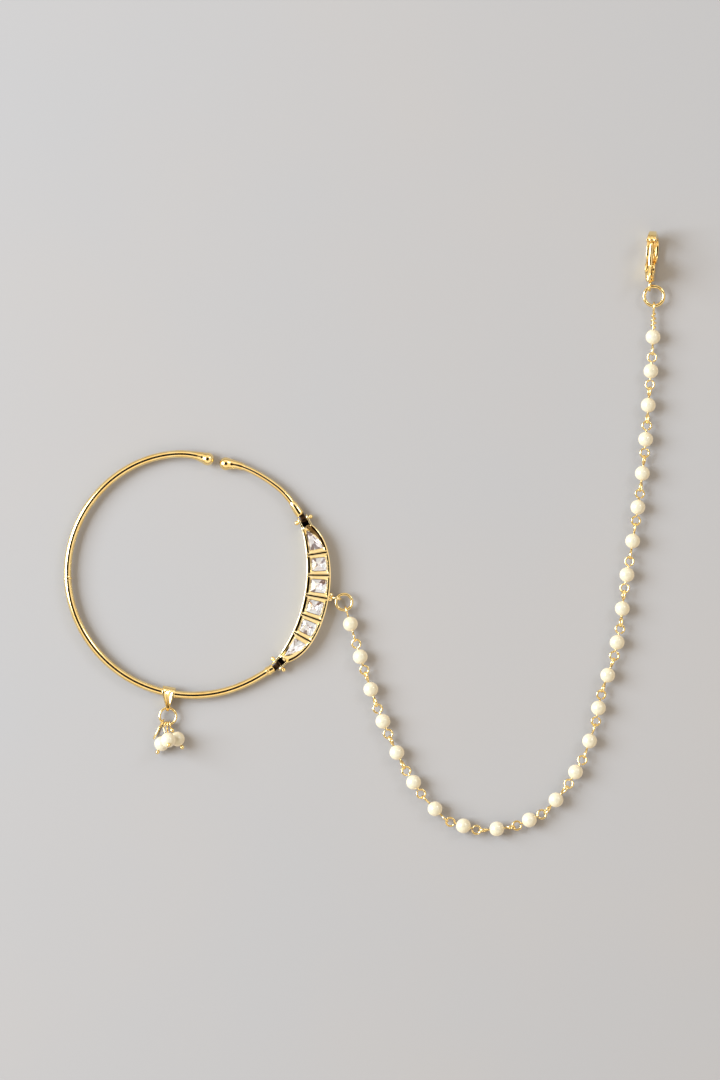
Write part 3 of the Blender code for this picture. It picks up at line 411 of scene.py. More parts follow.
def read_table(rows: Sequence[tuple[float, float]], place: float) -> float:
    """Reads a table of places and values as one smooth curve.

    Args:
        rows: Places in rising order, each with its value.
        place: Where to read, held within the table.

    Returns:
        The value there.
    """
    place = min(max(place, rows[0][0]), rows[-1][0])
    index = max(i for i in range(len(rows) - 1) if rows[i][0] <= place)
    (x0, y0), (x1, y1) = rows[index], rows[index + 1]
    before = rows[max(index - 1, 0)]
    after = rows[min(index + 2, len(rows) - 1)]
    slope0 = (y1 - before[1]) / (x1 - before[0])
    slope1 = (after[1] - y0) / (after[0] - x0)
    width = x1 - x0
    t = (place - x0) / width
    return (
        (2 * t**3 - 3 * t**2 + 1) * y0
        + (t**3 - 2 * t**2 + t) * width * slope0
        + (3 * t**2 - 2 * t**3) * y1
        + (t**3 - t**2) * width * slope1
    )


def smooth_loop(points: Sequence[tuple[float, float]], steps: int) -> list[Vector]:
    """Rounds a closed outline.

    Args:
        points: The outline's corners.
        steps: Points made from each corner to the next.

    Returns:
        The smooth outline, at height zero.
    """
    count = len(points)
    outline = []
    for span in range(count):
        p0, p1, p2, p3 = (
            Vector((*points[(span + offset) % count], 0.0)) for offset in (-1, 0, 1, 2)
        )
        for step in range(steps):
            t = step / steps
            outline.append(
                p1
                + (p2 - p0) * t / 2
                + (2 * p0 - 5 * p1 + 4 * p2 - p3) * t**2 / 2
                + (3 * p1 - p0 - 3 * p2 + p3) * t**3 / 2
            )
    return outline


def carried_frames(points: Sequence[Vector]) -> list[Matrix]:
    """Frames along a path whose Z runs with it and which turn as little as they can.

    Args:
        points: The path's points.

    Returns:
        One frame for each point.
    """
    last = len(points) - 1
    tangents = [
        (points[min(index + 1, last)] - points[max(index - 1, 0)]).normalized()
        for index in range(last + 1)
    ]
    turn = tangents[0].to_track_quat("Z", "Y")
    frames = []
    previous = tangents[0]
    for point, tangent in zip(points, tangents):
        turn = previous.rotation_difference(tangent) @ turn
        previous = tangent
        frames.append(Matrix.Translation(point) @ turn.to_matrix().to_4x4())
    return frames


def merge(shape: Shape, part: Shape) -> None:
    """Adds a finished part to a shape.

    Args:
        shape: The shape that grows.
        part: The part, which is used up.
    """
    mesh = bpy.data.meshes.new("part")
    part.to_mesh(mesh)
    part.free()
    shape.from_mesh(mesh)
    bpy.data.meshes.remove(mesh)


def wire(points: Sequence[Vector], radii: Sequence[float], sides: int) -> Shape:
    """A round wire drawn section by section along a path.

    Args:
        points: The path's points.
        radii: The wire's radius at each.
        sides: Sides of its section.

    Returns:
        The wire, closed at both ends.
    """
    shape = bmesh.new()
    places = [spot @ Matrix.Scale(radius, 4) for spot, radius in zip(carried_frames(points), radii)]
    ring = bmesh.ops.create_circle(shape, cap_ends=False, radius=1.0, segments=sides)["verts"]
    bmesh.ops.transform(shape, matrix=places[0], verts=ring)
    edges = list(shape.edges)
    bmesh.ops.edgeloop_fill(shape, edges=edges)
    for before, after in zip(places, places[1:]):
        made = bmesh.ops.extrude_edge_only(shape, edges=edges)["geom"]
        fresh = {item for item in made if isinstance(item, Vertex)}
        edges = [
            item for item in made
            if isinstance(item, bmesh.types.BMEdge) and fresh.issuperset(item.verts)
        ]
        bmesh.ops.transform(shape, matrix=after @ before.inverted(), verts=list(fresh))
    bmesh.ops.edgeloop_fill(shape, edges=edges)
    bmesh.ops.recalc_face_normals(shape, faces=shape.faces)
    return shape


def plain_wire(points: Sequence[Vector], radius: float, sides: int = 10) -> Shape:
    """A wire of one radius."""
    return wire(points, [radius] * len(points), sides)


def ball_end(
    centre: Vector, heading: Vector, radius: float, neck_share: float, steps: int, pole_gap: float
) -> tuple[list[Vector], list[float]]:
    """The sections of a wire that ends in a ball.

    Args:
        centre: The ball's centre.
        heading: The way that the wire runs.
        radius: The ball's radius.
        neck_share: The wire's radius where the ball starts, as a share of the ball's.
        steps: Steps over the ball.
        pole_gap: The angle in radians that the last section keeps from the pole.

    Returns:
        The middles of the sections and their radii.
    """
    first = -math.acos(neck_share)
    last = math.pi / 2 - pole_gap
    angles = [first + (last - first) * index / steps for index in range(steps + 1)]
    points = [centre + heading * radius * math.sin(angle) for angle in angles]
    return points, [radius * math.cos(angle) for angle in angles]


def spun(shape: Shape, matrix: Matrix, steps: int) -> Shape:
    """Spins an outline once round the Z axis and puts the result in place.

    Args:
        shape: The outline, which becomes the result.
        matrix: The result's frame.
        steps: Sections round the axis.

    Returns:
        The closed shape.
    """
    bmesh.ops.spin(
        shape, geom=list(shape.verts) + list(shape.edges), cent=(0.0, 0.0, 0.0), axis=UP,
        angle=math.tau, steps=steps, use_merge=True, use_duplicate=False,
    )
    bmesh.ops.remove_doubles(shape, verts=shape.verts, dist=WELD)
    bmesh.ops.recalc_face_normals(shape, faces=shape.faces)
    bmesh.ops.transform(shape, matrix=matrix, verts=shape.verts)
    return shape


def torus(
    matrix: Matrix, radius: float, wire_radius: float, steps: int = 56, sides: int = 14
) -> Shape:
    """A closed ring round the Z axis of a frame.

    Args:
        matrix: The ring's frame.
        radius: From the centre to the middle of the wire.
        wire_radius: The wire's radius.
        steps: Sections round the ring.
        sides: Sides of a section.

    Returns:
        The ring.
    """
    shape = bmesh.new()
    bmesh.ops.create_circle(shape, cap_ends=False, radius=wire_radius, segments=sides)
    stand = Matrix.Translation((radius, 0.0, 0.0)) @ Matrix.Rotation(math.pi / 2, 4, "X")
    bmesh.ops.transform(shape, matrix=stand, verts=shape.verts)
    return spun(shape, matrix, steps)


def turned(profile: Sequence[tuple[float, float]], matrix: Matrix, steps: int = 32) -> Shape:
    """A piece turned round the Z axis of a frame.

    Args:
        profile: Radius and height of each point of its outline, which runs from the axis to the
            axis or else closes on itself.
        matrix: The piece's frame.
        steps: Sections round the piece.

    Returns:
        The turned piece.
    """
    shape = bmesh.new()
    points = [shape.verts.new((radius, 0.0, height)) for radius, height in profile]
    for first, second in zip(points, points[1:]):
        shape.edges.new((first, second))
    if profile[0][0] > WELD:
        shape.edges.new((points[-1], points[0]))
    return spun(shape, matrix, steps)


def ball_profile(radius: float, steps: int = 12) -> list[tuple[float, float]]:
    """The outline of a ball from pole to pole.

    Args:
        radius: The ball's radius.
        steps: Steps from pole to pole.

    Returns:
        Radius and height of each point.
    """
    angles = [math.pi * index / steps for index in range(steps + 1)]
    return [(radius * math.sin(angle), radius * math.cos(angle)) for angle in angles]


def bead_profile(radius: float, bore: float, steps: int = 16) -> list[tuple[float, float]]:
    """The outline of a drilled bead, whose bore's edge is eased.

    Args:
        radius: The bead's radius.
        bore: The radius of the bore's mouth.
        steps: Steps over the bead's outside.

    Returns:
        Radius and height of each point.
    """
    opening = math.acos(bore / radius)
    angles = [opening - 2 * opening * index / steps for index in range(steps + 1)]
    profile = [(radius * math.cos(angle), radius * math.sin(angle)) for angle in angles]
    # The mouth of the bore is a short funnel down to the wall of the bore itself.
    wall = bore * 0.8
    depth = profile[0][1] - bore * 0.4
    return profile + [(wall, -depth), (wall, depth)]


def round_edges(
    shape: Shape, edges: Sequence[bmesh.types.BMEdge], width: float, segments: int = 2
) -> None:
    """Rounds edges of a shape.

    Args:
        shape: The shape.
        edges: The edges to round.
        width: Width of the rounding.
        segments: Steps of the rounding.
    """
    bmesh.ops.bevel(
        shape, geom=edges, offset=width, offset_type="OFFSET", segments=segments, profile=0.5,
        affect="EDGES", material=-1, clamp_overlap=True,
    )


def paint(faces: Sequence[Face], index: int) -> None:
    """Gives faces one of their piece's materials."""
    for face in faces:
        face.material_index = index


def plate(
    outline: Sequence[Vector], thickness: float, rounding: float = 0.0, segments: int = 3
) -> Shape:
    """A flat plate centred on its own plane, with rounded edges.

    Args:
        outline: Its outline at height zero.
        thickness: Its thickness.
        rounding: Width of the rounding along its edges.
        segments: Steps of the rounding.

    Returns:
        The plate.
    """
    shape = bmesh.new()
    corners = [shape.verts.new(point - UP * thickness / 2) for point in outline]
    shape.faces.new(corners)
    lifted = bmesh.ops.extrude_face_region(shape, geom=list(shape.faces))["geom"]
    fresh = [item for item in lifted if isinstance(item, Vertex)]
    bmesh.ops.translate(shape, vec=UP * thickness, verts=fresh)
    bmesh.ops.recalc_face_normals(shape, faces=shape.faces)
    if rounding > 0.0:
        rims = [edge for edge in shape.edges if abs(edge.verts[0].co.z - edge.verts[1].co.z) < WELD]
        round_edges(shape, rims, rounding, segments)
    return shape


def stand_in(shape: Shape) -> bpy.types.Object:
    """Puts a shape on a temporary object, for modifiers to work on.

    Args:
        shape: The shape, which is used up.

    Returns:
        The temporary object.
    """
    blank = bpy.data.objects.new("blank", bpy.data.meshes.new("blank"))
    shape.to_mesh(blank.data)
    shape.free()
    bpy.context.scene.collection.objects.link(blank)
    return blank


def take_back(blank: bpy.types.Object, others: Sequence[bpy.types.Object] = ()) -> Shape:
    """Reads the outcome of a temporary object's modifiers and clears up.

    Args:
        blank: The temporary object.
        others: Objects that its modifiers used.

    Returns:
        The outcome.
    """
    graph = bpy.context.evaluated_depsgraph_get()
    mesh = bpy.data.meshes.new_from_object(blank.evaluated_get(graph), depsgraph=graph)
    result = bmesh.new()
    result.from_mesh(mesh)
    bpy.data.meshes.remove(mesh)
    for used in [blank, *others]:
        data = used.data
        bpy.data.objects.remove(used, do_unlink=True)
        bpy.data.meshes.remove(data)
    return result


def carve(shape: Shape, cutters: Sequence[Shape]) -> Shape:
    """Cuts shapes out of a shape.

    Args:
        shape: The shape to cut, which is used up.
        cutters: What is cut away, which is used up too.

    Returns:
        The cut shape.
    """
    blank = stand_in(shape)
    tools = [stand_in(cutter) for cutter in cutters]
    for tool in tools:
        cut = blank.modifiers.new("cut", "BOOLEAN")
        cut.operation = "DIFFERENCE"
        cut.solver = "EXACT"
        cut.object = tool
    return take_back(blank, tools)


def cast(shape: Shape, grain: float, rounds: int) -> Shape:
    """Melts overlapping closed shapes into one cast body with soft edges.

    Args:
        shape: The shapes, which are used up.
        grain: The size of the cast's mesh.
        rounds: How often it is smoothed.

    Returns:
        The cast body.
    """
    blank = stand_in(shape)
    melt = blank.modifiers.new("melt", "REMESH")
    melt.mode = "VOXEL"
    melt.voxel_size = grain
    soften = blank.modifiers.new("soften", "SMOOTH")
    soften.factor = 0.5
    soften.iterations = rounds
    return take_back(blank)


def box(low: Vector, high: Vector) -> Shape:
    """A box.

    Args:
        low: Its lowest corner.
        high: Its highest corner.

    Returns:
        The box.
    """
    shape = bmesh.new()
    bmesh.ops.create_cube(shape, size=1.0)
    place = Matrix.LocRotScale((low + high) / 2, None, high - low)
    bmesh.ops.transform(shape, matrix=place, verts=shape.verts)
    return shape


def rod(start: Vector, end: Vector, radius: float, sides: int = 24) -> Shape:
    """A straight round bar.

    Args:
        start: The middle of one end.
        end: The middle of the other.
        radius: The bar's radius.
        sides: Sides of its section.

    Returns:
        The bar.
    """
    shape = bmesh.new()
    bmesh.ops.create_cone(
        shape, cap_ends=True, segments=sides, radius1=radius, radius2=radius,
        depth=(end - start).length,
    )
    place = facing((start + end) / 2, end - start)
    bmesh.ops.transform(shape, matrix=place, verts=shape.verts)
    return shape


class Bench:
    """Turns finished shapes into pieces of the jewel."""

    def __init__(self) -> None:
        """Mixes the finishes and opens a collection for the pieces."""
        self.gold = MetalFinish("gold_polished", (1.0, 0.79, 0.40), (0.94, 0.68, 0.27)).material()
        self.rim_gold = MetalFinish(
            "gold_pale", (1.0, 0.85, 0.52), (0.97, 0.76, 0.38), roughness=0.14,
        ).material()
        # Painted shade: a dark gold for the flat plate at the upper tip, standing for the dark
        # reflection there; the lower tip has the same form.
        self.painted_dark_gold = MetalFinish(
            "gold_shadowed", (0.17, 0.10, 0.035), (0.06, 0.03, 0.01), roughness=0.20,
        ).material()
        # Painted shade: a near-black gold that stands for shade and the dark reflection from
        # overhead in recesses, on the hinges' tongues and under them.
        self.painted_shade_gold = MetalFinish(
            "gold_painted_shade", (0.05, 0.028, 0.014), (0.02, 0.010, 0.006), roughness=0.26,
        ).material()
        self.pearl = PearlFinish().material()
        self.crystal = CrystalFinish().material()
        self.foil = FoilWithPaintedLight().material()
        self.collection = bpy.data.collections.new("nath_looks")
        bpy.context.scene.collection.children.link(self.collection)
        self.count = 0

    def deliver(
        self,
        shape: Shape,
        name: str,
        body: Body,
        materials: Sequence[bpy.types.Material],
        replaced: Sequence[str],
        sharp: float = SHARP_ANGLE,
    ) -> None:
        """Makes a piece of a shape and fastens it to its body.

        Args:
            shape: The finished shape, which is used up.
            name: The piece's name.
            body: The body that it moves with.
            materials: Its materials, in the order of the faces' material indices.
            replaced: The CAD nodes that it stands for.
            sharp: The angle past which an edge stays sharp.
        """
        mesh = bpy.data.meshes.new(name)
        shape.to_mesh(mesh)
        shape.free()
        for material in materials:
            mesh.materials.append(material)
        mesh.shade_smooth()
        mesh.set_sharp_from_angle(angle=math.radians(sharp))
        piece = bpy.data.objects.new(name, mesh)
        self.collection.objects.link(piece)
        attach(piece, body.value)
        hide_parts(*replaced)
        self.count += 1
        LOG.info("%s: %d faces on %s", name, len(mesh.polygons), body.value)


def cad_middle(node: str) -> Vector:
    """The middle of a CAD node's box."""
    low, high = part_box(node)
    return (Vector(low) + Vector(high)) / 2


@dataclass(frozen=True)
class Layout:
    """Where the ring's centre and hinges lie."""

    ring_radius: float = 24.3 * MM
    joint_share: float = 1.035
    setting_angle: float = -10.0
    joint_angle: float = 35.6
    centre: Vector = field(default_factory=Vector)

    @property
    def joint_radius(self) -> float:
        """From the ring's centre to the hinges."""
        return self.ring_radius * self.joint_share

    @staticmethod
    def from_record() -> "Layout":
        """Reads the ring's centre from the upper hinge, whose axis runs along the ring's radius.

        Returns:
            The layout.
        """
        joints = {joint["name"]: joint for joint in frame["record"]["behaviour"]["joints"]}
        upper = joints["upper_hinge"]
        plain = Layout()
        return Layout(centre=Vector(upper["pos_m"]) - Vector(upper["axis"]) * plain.joint_radius)

    def at(self, radius: float, degrees: float, lift: float = 0.0) -> Vector:
        """A point round the ring, at the height of the tubes' middle plus a lift."""
        return polar(self.centre, radius, degrees, self.centre.z + lift)


@dataclass(frozen=True)
class Hinge:
    """One hinge of the ring, at an end of the crescent."""

    layout: Layout
    side: int
    knuckle_radius: float = 0.9 * MM
    cheek: float = 0.4 * MM
    tongue_width: float = 1.1 * MM
    tongue_radius: float = 0.75 * MM
    side_gap: float = 0.15 * MM
    gap: float = 0.2 * MM
    pin_radius: float = 0.25 * MM
    pin_clearance: float = 0.06 * MM
    head_radius: float = 0.45 * MM
    neck_share: float = 0.8
    root_gaps: float = 3.0
    rounding: float = 0.12 * MM
    tongue_steps: int = 28
    cheek_steps: int = 22
    head_steps: int = 12
    web_height: float = 0.3 * MM
    web_setback: float = 0.1 * MM

    @property
    def angle(self) -> float:
        """Where the hinge lies round the ring."""
        return self.layout.setting_angle + self.side * self.layout.joint_angle

    @property
    def centre(self) -> Vector:
        """The middle of the hinge."""
        return self.layout.at(self.layout.joint_radius, self.angle)

    @property
    def radial(self) -> Vector:
        """The way of the hinge's pin."""
        return way(self.angle)

    @property
    def along(self) -> Vector:
        """The way that the arc leaves the hinge."""
        return way(self.angle + self.side * 90.0)

    @property
    def side_matrix(self) -> Matrix:
        """A frame whose plane is the one that the hinge turns in."""
        return frame_at(self.centre, self.along, UP, self.radial)

    def degrees_to(self, angle: float) -> float:
        """How far round the ring an angle lies from the hinge, the way that its arc runs."""
        return (self.side * (angle - self.angle)) % 360.0

    def tongue(self) -> Shape:
        """The arc's round tongue with its eye for the pin.

        Returns:
            The tongue, in the second material of its piece, a near-black painted shade.
        """
        neck = self.tongue_radius * self.neck_share
        root = self.knuckle_radius + self.gap * self.root_gaps
        start = math.degrees(math.asin(neck / self.tongue_radius))
        outline = [Vector((root, neck, 0.0))]
        outline += arc(self.tongue_radius, start, 360.0 - start, self.tongue_steps)
        outline.append(Vector((root, -neck, 0.0)))
        shape = plate(outline, self.tongue_width, self.rounding)
        bmesh.ops.transform(shape, matrix=self.side_matrix, verts=shape.verts)
        reach = self.radial * self.tongue_width
        bore = rod(self.centre - reach, self.centre + reach, self.pin_radius + self.pin_clearance)
        shape = carve(shape, [bore])
        # Painted shade: the tongue goes near black for the shade in the slot and the dark
        # reflection from overhead.
        paint(shape.faces, 1)
        return shape

    @property
    def cheek_offset(self) -> float:
        """From the middle of the hinge to the middle of a cheek."""
        return self.tongue_width / 2 + self.side_gap + self.cheek / 2

    def cheeks(self, back: float) -> Shape:
        """The two round-ended cheeks that hold the tongue.

        Args:
            back: How far they run into the crescent.

        Returns:
            Both cheeks.
        """
        shape = bmesh.new()
        outline = [Vector((-back, self.knuckle_radius, 0.0))]
        outline += arc(self.knuckle_radius, 90.0, -90.0, self.cheek_steps)
        outline.append(Vector((-back, -self.knuckle_radius, 0.0)))
        outline.reverse()
        for place in (-self.cheek_offset, self.cheek_offset):
            part = plate(outline, self.cheek, self.rounding)
            bmesh.ops.translate(part, vec=(0.0, 0.0, place), verts=part.verts)
            bmesh.ops.transform(part, matrix=self.side_matrix, verts=part.verts)
            bmesh.ops.recalc_face_normals(part, faces=part.faces)
            merge(shape, part)
        return shape

    def web(self, back: float, foot: float) -> Shape:
        """The thin web that joins the cheeks below the tongue, a near-black sheet of painted shade
        for the shade in the gap.

        Args:
            back: How far it runs into the crescent.
            foot: The height of its underside.

        Returns:
            The web, in the third material of its piece, the near-black painted shade.
        """
        lift = foot - self.centre.z
        low = Vector((-back, lift, -self.cheek_offset))
        high = Vector((-self.web_setback, lift + self.web_height, self.cheek_offset))
        shape = box(low, high)
        bmesh.ops.transform(shape, matrix=self.side_matrix, verts=shape.verts)
        bmesh.ops.recalc_face_normals(shape, faces=shape.faces)
        paint(shape.faces, 2)
        return shape

    def pin(self) -> Shape:
        """The round pin with a ball on each end.

        Returns:
            The pin.
        """
        neck = math.sqrt(self.head_radius**2 - self.pin_radius**2)
        reach = self.tongue_width / 2 + self.side_gap + self.cheek + self.pin_clearance + neck
        lowest = -math.acos(self.pin_radius / self.head_radius)
        top = [(0.0, reach + self.head_radius)]
        for step in range(1, self.head_steps + 1):
            angle = math.pi / 2 + (lowest - math.pi / 2) * step / self.head_steps
            height = reach + self.head_radius * math.sin(angle)
            top.append((self.head_radius * math.cos(angle), height))
        bottom = [(radius, -height) for radius, height in reversed(top)]
        return turned(top + bottom, facing(self.centre, self.radial), 28)


@dataclass(frozen=True)
class RingArc:
    """One tube of the ring, from its ferrule and tongue to its pear-shaped end.

    The rows give the distance from the ring's centre, as a share of the ring's radius, at shares of
    the arc's length. The ball's rows give lengths before the ball's centre and the tube's radius
    there, both as shares of the ball's radius.
    """

    name: str
    node: str
    body: Body
    hinge: Hinge
    ball_angle: float
    tube_radius: float
    ferrule_length: float
    rows: Rows
    collar_angle: float | None = None
    collar_proud: float = 0.12 * MM
    collar_length: float = 0.5 * MM
    collar_room: float = 1.6
    collar_rows: Rows = ((-1.3, 0.0), (-1.0, 0.4), (-0.7, 1.0), (0.7, 1.0), (1.0, 0.4), (1.3, 0.0))
    ball_radius: float = 1.3 * MM
    ball_steps: int = 18
    pole_gap: float = 0.05
    step_angle: float = 1.3
    ferrule_steps: int = 26
    flare_steps: int = 22
    sides: int = 32
    ball_rows: Rows = (
        (0.45, 0.900), (0.80, 0.800), (1.00, 0.790), (1.25, 0.740), (1.80, 0.640), (2.60, 0.580),
    )

    def length_to(self, angle: float) -> float:
        """The length from the hinge to an angle, along the ring's own circle."""
        return math.radians(self.hinge.degrees_to(angle)) * self.hinge.layout.ring_radius

    def total(self) -> float:
        """The arc's length from the hinge to the ball's centre."""
        return self.length_to(self.ball_angle)

    def place(self, length: float) -> Vector:
        """The middle of the tube.

        Args:
            length: How far from the hinge, along the ring's own circle.

        Returns:
            The point there.
        """
        share = length / self.total()
        radius = self.hinge.layout.ring_radius * read_table(self.rows, share)
        angle = self.hinge.angle + self.hinge.side * self.hinge.degrees_to(self.ball_angle) * share
        return self.hinge.layout.at(radius, angle)

    def ferrule_radius(self, share: float) -> float:
        """The radius of the ferrule, which is as thick as the knuckle and tapers to the tube.

        Args:
            share: Where along its length, from 0 at the hinge to 1 at the tube.

        Returns:
            The radius there.
        """
        knuckle, tube = self.hinge.knuckle_radius, self.tube_radius
        rows = (
            (0.00, knuckle * 0.80), (0.05, knuckle * 0.94), (0.14, knuckle * 0.98),
            (0.50, knuckle * 0.96), (0.80, tube * 1.30), (0.88, tube * 1.16),
            (0.93, tube * 1.12), (0.96, tube * 1.02), (1.00, tube),
        )
        return read_table(rows, share)

    def stations(self) -> list[tuple[float, float]]:
        """Length and radius of each section of the tube up to the ball.

        Returns:
            The sections, from the ferrule onwards.
        """
        start = self.hinge.knuckle_radius + self.hinge.gap
        end = start + self.ferrule_length
        steps = self.ferrule_steps
        found = [
            (start + self.ferrule_length * index / steps, self.ferrule_radius(index / steps))
            for index in range(steps + 1)
        ]
        flare = self.total() - self.ball_rows[-1][0] * self.ball_radius
        step = math.radians(self.step_angle) * self.hinge.layout.ring_radius
        count = round((flare - end) / step)
        plain = [end + (flare - end) * index / count for index in range(1, count)]
        if self.collar_angle is not None:
            collar = self.length_to(self.collar_angle)
            half = self.collar_length / 2
            room = half * self.collar_room
            plain = [length for length in plain if abs(length - collar) > room]
            for offset, proud in self.collar_rows:
                found.append((collar + offset * half, self.tube_radius + proud * self.collar_proud))
        found += [(length, self.tube_radius) for length in plain]
        found.sort()
        rows = [
            (-before, max(share * self.ball_radius, self.tube_radius))
            for before, share in reversed(self.ball_rows)
        ]
        for index in range(self.flare_steps + 1):
            before = rows[0][0] + (rows[-1][0] - rows[0][0]) * index / self.flare_steps
            found.append((self.total() + before * self.ball_radius, read_table(rows, before)))
        return found

    def build(self, bench: Bench) -> None:
        """Draws the tube, adds its tongue and delivers the arc.

        Args:
            bench: Where the pieces are delivered.
        """
        stations = self.stations()
        points = [self.place(length) for length, _ in stations]
        radii = [radius for _, radius in stations]
        centre = self.place(self.total())
        heading = (centre - self.place(self.total() - self.ball_radius)).normalized()
        over, widths = ball_end(
            centre, heading, self.ball_radius, self.ball_rows[0][1], self.ball_steps, self.pole_gap
        )
        shape = wire(points + over[1:], radii + widths[1:], self.sides)
        merge(shape, self.hinge.tongue())
        bench.deliver(
            shape, self.name, self.body, [bench.gold, bench.painted_shade_gold], [self.node]
        )


class Zone(Enum):
    """What a strip of the crescent's top is."""

    RIM = "rim"
    GROOVE = "groove"
    SLOT = "slot"
    POCKET = "pocket"
    BEZEL = "bezel"


@dataclass(frozen=True)
class CutRing:
    """One ring of corners of a cut stone."""

    rise: float
    size: float
    corners: int
    shift: float


@dataclass(frozen=True)
class Crescent:
    """The crescent: rims, grooves between its cells, slots beside the stones, and the stones.

    Its top is a grid of columns, which run across it, and rows, which run along it. Angles that are
    called offsets count from its middle.
    """

    layout: Layout
    hinges: tuple[Hinge, Hinge]
    half_angle: float = 32.6
    height: float = 2.6 * MM
    width: float = 4.9 * MM
    inward_share: float = 0.398
    rise_share: float = 0.184
    fall_share: float = 0.388
    stones: int = 6
    spacing: float = 9.6
    end_margin: float = 0.6
    rim: float = 0.25 * MM
    slot: float = 0.44 * MM
    line: float = 0.26 * MM
    bezel: float = 0.07 * MM
    rim_drop: float = 0.055 * MM
    outer_fall: float = 0.17 * MM
    bezel_drop: float = 0.05 * MM
    plate_drop: float = 0.42 * MM
    rim_rounding: float = 0.03 * MM
    groove: float = 0.27 * MM
    groove_depth: float = 0.7 * MM
    slot_depth: float = 1.5 * MM
    wall_slope: float = 0.30 * MM
    girdle_depth: float = 0.62 * MM
    lip: float = 0.52 * MM
    lip_depth: float = 0.45 * MM
    floor: float = 0.4 * MM
    tip_fill: float = 1.25 * MM
    tip_power: float = 1.6
    tip_slot_share: float = 0.25
    inset_across: float = 0.55
    narrowest_share: float = 0.35
    cell_steps: int = 8
    pocket_rows: int = 5
    pocket_edge: int = 4
    narrowest: float = 0.5 * MM
    rim_angle: float = 25.0
    foot_angle: float = 60.0
    foot_rounding: float = 0.10 * MM
    slack: float = 0.01 * MM
    rim_reach: float = 1.05
    steep_normal: float = 0.3
    steep_depth: float = 0.15 * MM
    flat_normal: float = 0.5
    bright_edge: float = 0.1 * MM
    eye_angle: float = -9.3
    eye_radius: float = 0.95 * MM
    eye_wire: float = 0.25 * MM
    eye_root: float = 0.45 * MM
    eye_root_depth: float = 0.3 * MM
    solder_beads: Rows = ((0.42 * MM, 0.56 * MM), (-0.40 * MM, 0.50 * MM))
    base: float = 0.005 * MM
    plate_start: float = 1.0
    end_room: float = 0.86
    side_room: float = 0.42
    roundness: float = 0.22
    flat_angle: float = 1.5
    back_normal: float = -0.05
    facet_angle: float = 0.5
    first_seed: int = 40
    cut: tuple[CutRing, ...] = (
        CutRing(0.50 * MM, 0.60, 8, 0.5),
        CutRing(0.36 * MM, 0.80, 8, 0.0),
        CutRing(0.05 * MM, 1.00, 16, 0.0),
        CutRing(-0.05 * MM, 1.00, 16, 0.0),
        CutRing(-0.42 * MM, 0.68, 8, 0.5),
        CutRing(-0.76 * MM, 0.36, 8, 0.0),
        CutRing(-1.02 * MM, 0.05, 4, 0.5),
    )

    def inner(self, offset: float) -> float:
        """The crescent's inner side.

        Args:
            offset: The angle from its middle.

        Returns:
            The side's radius there.
        """
        share = min(abs(offset) / self.half_angle, 1.0)
        start = self.layout.joint_radius - self.width * self.inward_share
        return start + self.width * self.rise_share * share**2

    def outer(self, offset: float) -> float:
        """The crescent's outer side.

        Args:
            offset: The angle from its middle.

        Returns:
            The side's radius there.
        """
        share = min(abs(offset) / self.half_angle, 1.0)
        start = self.layout.joint_radius + self.width * (1.0 - self.inward_share)
        return start - self.width * self.fall_share * share**5

    def cell_limits(self, cell: int) -> tuple[float, float]:
        """Where a cell lies, grooves left out.

        Args:
            cell: The cell's number, from the lower tip.

        Returns:
            The angles at which it starts and ends, from the crescent's middle.
        """
        half_groove = self.turn(self.groove / 2)
        start = (cell - self.stones / 2) * self.spacing + half_groove
        end = (cell + 1 - self.stones / 2) * self.spacing - half_groove
        if cell == 0:
            start = self.end_margin - self.half_angle
        if cell == self.stones - 1:
            end = self.half_angle - self.end_margin
        return start, end

    def turn(self, length: float) -> float:
        """The angle that a length takes up along the crescent."""
        return math.degrees(length / self.layout.joint_radius)

    def columns(self) -> tuple[list[float], list[tuple[Zone, int]]]:
        """Splits the crescent lengthwise.

        Returns:
            The angles of the splits, and the zone and cell between each two.
        """
        rim = self.turn(self.rim)
        angles = [-self.half_angle]
        zones: list[tuple[Zone, int]] = []
        for cell in range(self.stones):
            start, end = self.cell_limits(cell)
            angles += [start, start + rim / 2, start + rim]
            first = Zone.RIM if cell == 0 else Zone.GROOVE
            zones += [(first, cell), (Zone.RIM, cell), (Zone.RIM, cell)]
            for step in range(1, self.cell_steps + 1):
                angles.append(start + rim + (end - start - 2 * rim) * step / self.cell_steps)
                zones.append((Zone.POCKET, cell))
            angles += [end - rim / 2, end]
            zones += [(Zone.RIM, cell), (Zone.RIM, cell)]
        angles.append(self.half_angle)
        zones.append((Zone.RIM, self.stones - 1))
        return angles, zones

    def tip_share(self, offset: float) -> float:
        """How near an angle is to a pointed end.

        Args:
            offset: The angle from the crescent's middle.

        Returns:
            From 0 at the last groove to 1 at the tip.
        """
        start = (self.stones / 2 - 1) * self.spacing
        share = (abs(offset) - start) / (self.half_angle - self.end_margin - start)
        return min(max(share, 0.0), 1.0)

    def pocket_sides(self, offset: float) -> tuple[float, float]:
        """Where a stone's pocket opens.

        Args:
            offset: The angle from the crescent's middle.

        Returns:
            The radii of its inner and outer side there.
        """
        scale = (self.outer(offset) - self.inner(offset)) / self.width
        inner = self.inner(offset) + self.rim + (self.slot + self.bezel) * scale
        outer = self.outer(offset) - self.rim - (self.line + self.bezel) * scale
        share = self.tip_share(offset)
        fill = self.tip_fill * share**self.tip_power
        gained = self.tip_slot_share * self.slot * share
        return inner - gained, max(outer - fill, inner + self.narrowest)

